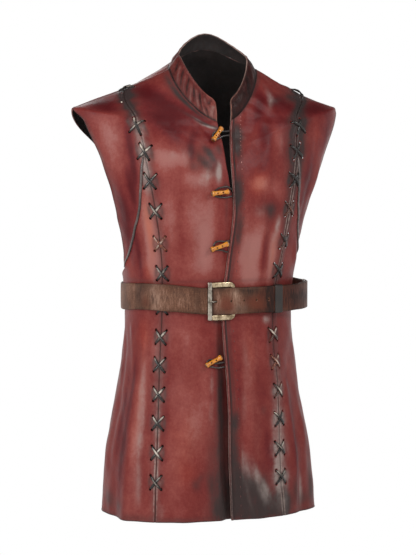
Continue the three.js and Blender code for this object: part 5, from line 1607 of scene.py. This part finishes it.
def belt_marks(rows, past, up):
    total = np.zeros(np.broadcast(past, up).shape)
    for mark in read_rows(BELT_MARK_COLUMNS, rows):
        off = ((past - mark["past"]) / mark["around"]) ** 2 + ((up - mark["up"]) / mark["tall"]) ** 2
        total += mark["strength"] * np.exp(-off)
    return np.clip(total, 0, MOST_MARK)


def strap_section():
    """The strap's section with rounded corners, as [up, out] points."""
    half, thick = BELT["width"] / 2, BELT["thickness"]
    turn = np.radians([0, 30, 60, 90])
    corner = STRAP_CORNER * np.stack([np.cos(turn), np.sin(turn)], axis=-1)
    corner += [half - STRAP_CORNER, thick - STRAP_CORNER]
    flat = np.linspace(-half + STRAP_CORNER, half - STRAP_CORNER, 11)[1:-1]
    ring = [[u, thick] for u in flat[::-1]]
    ring += [[-u, d] for u, d in corner[::-1]] + [[-u, thick - d] for u, d in corner]
    ring += [[u, 0] for u in flat] + [[u, thick - d] for u, d in corner[::-1]] + corner.tolist()
    return np.array(ring)


def strap_piece():
    """The strap from the buckle round to its tip, lying twice where the tip has passed the buckle."""
    start, end = float(belt_angle(over_heel + STRAP_GAP)), 360 + BELT_TIP
    near_buckle = 360 + belt_angle(NEAR_BUCKLE)
    angles = np.unique([*np.arange(start, end, 1.0), *near_buckle, *(end - NEAR_TIP)])
    angles = angles[angles <= end]
    to_end = np.clip((end - angles) / BELT_TIP_LENGTH, 0, 1)
    share = np.maximum(np.sqrt(1 - (1 - to_end) ** 2), STRAP_TIP_SHARE)
    half, thick = BELT["width"] / 2, BELT["thickness"]
    ring = strap_section()
    past = np.where(angles > STRAP_NEXT_TURN, past_toe(angles - 360), past_toe(angles))
    edge_wave = sum(out * np.sin(past / length + phase) for out, length, phase in EDGE_WAVES)
    up = ring[:, 0] * share[:, None] * (1 + edge_wave[:, None] / half * EDGE_SHARE)
    cup = STRAP_CUP["out"] * (1 - (ring[:, 0] / half) ** 2) * (angles[:, None] < STRAP_CUP["until"])
    out = strap_out(angles)[:, None] + ring[:, 1] + cup * (ring[:, 1] > 0.1)
    # each point's distance past the toe bar, for the marks
    on_top = angles >= 360 + belt_angle(STRAP_MARKED_FROM)
    place = np.where(on_top, past_toe(angles - 360), past_toe(np.minimum(angles, track_angle[-1])))
    values = {}
    for key, rows in (("dark", BELT_DARK), ("pale", BELT_PALE), ("red", BELT_RED)):
        value = belt_marks(rows, place[:, None], up)
        if key == "dark":
            edge = smooth((np.abs(up) - half + BELT_DARK_EDGE["width"]) / BELT_DARK_EDGE["width"])
            value = value + BELT_DARK_EDGE["strength"] * edge
        values[key] = [*value.ravel(), 0, 0]
    piece = make_mesh("strap", *tube(belt_point(angles[:, None], up, out)), [BELT_LOOK], values=values)
    holes = Bundle()
    hole = BELT_HOLES["diameter"] / 2 * circle(12)
    for spot in BELT_HOLES["first"] + BELT_HOLES["pitch"] * np.arange(BELT_HOLES["count"]):
        low = float(strap_out(360 + belt_angle(spot)))
        ends = low - 0.5, low + thick + 2
        holes.add(*tube([belt_point(belt_angle(spot + hole[:, 0]), hole[:, 1], end) for end in ends]))
    holes.add(*prong_tube(PRONG_RADIUS + PRONG_SLIT))
    punch(piece, holes)
    return finish_piece(piece, "belt_leather", "belt")


UP, OUT = np.array([0.0, 1, 0]), np.array([0.0, 0, 1])


def belt_tube(path, sections):
    """A tube bent round the belt. Its middle line and the rings round it are [past the toe bar, up, out]."""
    rings = []
    for stop, ring in zip(path, sections):
        spots = stop + ring
        rings.append(belt_point(belt_angle(spots[:, 0]), spots[:, 1], spots[:, 2]))
    return tube(rings)


def prong_tube(radius):
    fine = smooth_route([[past, 0, out] for past, out in PRONG_PATH], 4)
    ahead = unit(np.gradient(fine, axis=0))
    sections = []
    for k, way in enumerate(ahead):
        taper = 1 - 0.25 * smooth((k - len(fine) * 0.75) / (len(fine) * 0.25))
        ring = rounded(2 * radius, 2 * radius, 12, 2) * taper
        sections.append(turned(ring, UP, np.cross(way, UP)))
    return belt_tube(fine, sections)


def buckle_out(past):
    """How far out the buckle's inner face stands, which tilts from its toe bar to its heel."""
    return TOE_OUT - BUCKLE_TILT * past / (over_heel - BUCKLE["heel"] / 2)


def frame_piece():
    """The brass frame: one bar bent round from above the strap, down the heel and back below it."""
    top = BUCKLE["height"] / 2
    line = top - BUCKLE["bar"] / 2
    heel = over_heel - BUCKLE["heel"] / 2
    radius = BUCKLE["corner"]
    start = BUCKLE["toe"] / 2 + SEAM_GAP
    turn = np.linspace(0, math.pi / 2, 9)
    legs = [start, start + 0.6, start + 1.6, *np.linspace(start + 6, heel - radius - 2, 6)]
    upper = [[past, line] for past in legs]
    upper += [[heel - radius + radius * math.sin(t), line - radius + radius * math.cos(t)] for t in turn]
    middle = [[heel, up] for up in np.linspace(line - radius - 3, 0, 5)]
    half_path = upper + middle
    path = np.array(half_path + [[past, -up] for past, up in half_path[-2::-1]])
    ahead = unit(np.gradient(path, axis=0))
    fullness = np.ones(len(path))
    fullness[:len(FRAME_ENDS)] = FRAME_ENDS
    fullness[-len(FRAME_ENDS):] = FRAME_ENDS[::-1]
    sections, stops = [], []
    for (past, up), way, full in zip(path, ahead, fullness):
        width = BUCKLE["heel"] + (BUCKLE["bar"] - BUCKLE["heel"]) * abs(way[0])
        ring = rounded(width * full, BUCKLE["thickness"] * full, 16, 5)
        sections.append(turned(ring, np.array([-way[1], way[0], 0.0]), OUT))
        stops.append([past, up, float(buckle_out(past)) + BUCKLE["thickness"] / 2])
    bar = make_mesh("brass_frame", *belt_tube(np.array(stops), sections), [BRASS])
    return finish_piece(bar, "brass", "buckle_frame")


def toe_piece():
    """The steel toe bar, with rounded ends."""
    half = BUCKLE["height"] / 2
    end = half - np.array([0, 0.4, TOE_END])
    sections, stops = [], []
    for up in (*-end, *np.linspace(-half + 3, half - 3, 15), *end[::-1]):
        full = min(1.0, 0.6 + 0.4 * math.sqrt(min(1.0, (half - abs(up)) / TOE_END)))
        ring = rounded(BUCKLE["toe"] * (0.9 + 0.1 * full), BUCKLE["thickness"] * full, 16, 3.4)
        sections.append(turned(ring, np.array([1.0, 0, 0]), OUT))
        stops.append([0.0, up, float(buckle_out(0)) + BUCKLE["thickness"] / 2])
    bar = make_mesh("steel_toe", *belt_tube(np.array(stops), sections), [STEEL])
    return finish_piece(bar, "steel", "buckle_bar")


def keeper_piece():
    """The leather loop round both layers of the strap, as a band swept round a rounded frame."""
    middle = float(past_toe(KEEPER["angle"]))
    half_leather, radius = KEEPER["leather"] / 2, KEEPER["corner"]
    half = BELT["width"] / 2 + KEEPER["side"] + half_leather
    low = -KEEPER["clear"] - half_leather
    high = BELT_PATH[-1][1] + BELT["thickness"] + KEEPER["clear"] + half_leather
    right, left = half - radius, -half + radius
    corners = [(right, high - radius), (left, high - radius), (left, low + radius), (right, low + radius)]
    path = []
    for k, (up, out) in enumerate(corners):
        for turn in np.radians(np.linspace(90 * k, 90 * k + 90, 6)):
            path.append([up + radius * math.cos(turn), out + radius * math.sin(turn)])
    dense = []
    for a, b in zip(path, path[1:] + path[:1]):
        parts = max(1, int(math.dist(a, b) / KEEPER["step"]))
        dense += [[a[0] + (b[0] - a[0]) * t / parts, a[1] + (b[1] - a[1]) * t / parts] for t in range(parts)]
    ahead = unit(np.roll(dense, -1, axis=0) - np.roll(dense, 1, axis=0))
    ring = rounded(KEEPER["width"], KEEPER["leather"], 14, 5)
    rings = []
    for (up, out), way in zip(dense, ahead):
        spots = ring[:, 1:] * np.array([way[1], -way[0]])
        rings.append(belt_point(belt_angle(middle + ring[:, 0]), up + spots[:, 0], out + spots[:, 1]))
    band = make_mesh("keeper", *tube(rings, round_again=True), [KEEPER_LOOK])
    return finish_piece(band, "keeper_leather", "belt_keeper")


strap = strap_piece()
frame_piece()
toe_piece()
finish_piece(make_mesh("steel_prong", *prong_tube(PRONG_RADIUS), [STEEL]), "steel", "buckle_prong")
keeper_piece()


# ---- camera, light and floor
def aim(piece, azimuth, elevation, distance):
    """Stands a camera or lamp round the vest and points it at the camera's target."""
    a, e = math.radians(azimuth), math.radians(elevation)
    way = Vector((math.sin(a) * math.cos(e), -math.cos(a) * math.cos(e), math.sin(e)))
    target = Vector(TARGET)
    piece.location = target + way * distance
    piece.rotation_euler = (target - piece.location).to_track_quat("-Z", "Y").to_euler()
    bpy.context.scene.collection.objects.link(piece)


camera = bpy.data.objects.new("camera", bpy.data.cameras.new("camera"))
camera.data.lens = CAMERA["lens"]
camera.data.sensor_width = CAMERA["sensor"]
aim(camera, CAMERA["azimuth"], CAMERA["elevation"], CAMERA["distance"])
bpy.context.scene.camera = camera

for light in read_rows(LIGHT_COLUMNS, LIGHTS):
    lamp = bpy.data.lights.new(light["name"], "AREA")
    lamp.energy, lamp.shape, lamp.size = light["power"], "SQUARE", light["size"]
    stand = bpy.data.objects.new(light["name"], lamp)
    aim(stand, light["azimuth"], light["elevation"], light["distance"])


def floor_piece():
    look = Look("floor", Roughness=0.9)
    shade = look.mix(look.noise(900, 2.0), srgb("f4f3f1"), srgb("fafaf9"))
    ring = np.full((96, 3), FLOOR["height"] / MM)
    ring[:, :2] = circle(96) * FLOOR["radius"] / MM
    return make_mesh("floor", ring, [range(96)], [look.set(Base_Color=shade)])


floor_piece()


def studio():
    world = bpy.data.worlds.new("studio")
    world.use_nodes = True
    tree = world.node_tree
    way = tree.nodes.new("ShaderNodeTexCoord").outputs["Generated"]
    parts = tree.nodes.new("ShaderNodeSeparateXYZ")
    tree.links.new(way, parts.inputs["Vector"])
    fade = tree.nodes.new("ShaderNodeMapRange")
    fade.interpolation_type = "SMOOTHSTEP"
    tree.links.new(parts.outputs["Z"], fade.inputs["Value"])
    for key, value in SKY.items():
        fade.inputs[key].default_value = value
    background = tree.nodes["Background"]
    background.inputs["Color"].default_value = (1, 1, 1, 1)
    tree.links.new(fade.outputs["Result"], background.inputs["Strength"])
    return world


bpy.context.scene.world = studio()
bpy.context.scene.view_settings.view_transform = "Standard"
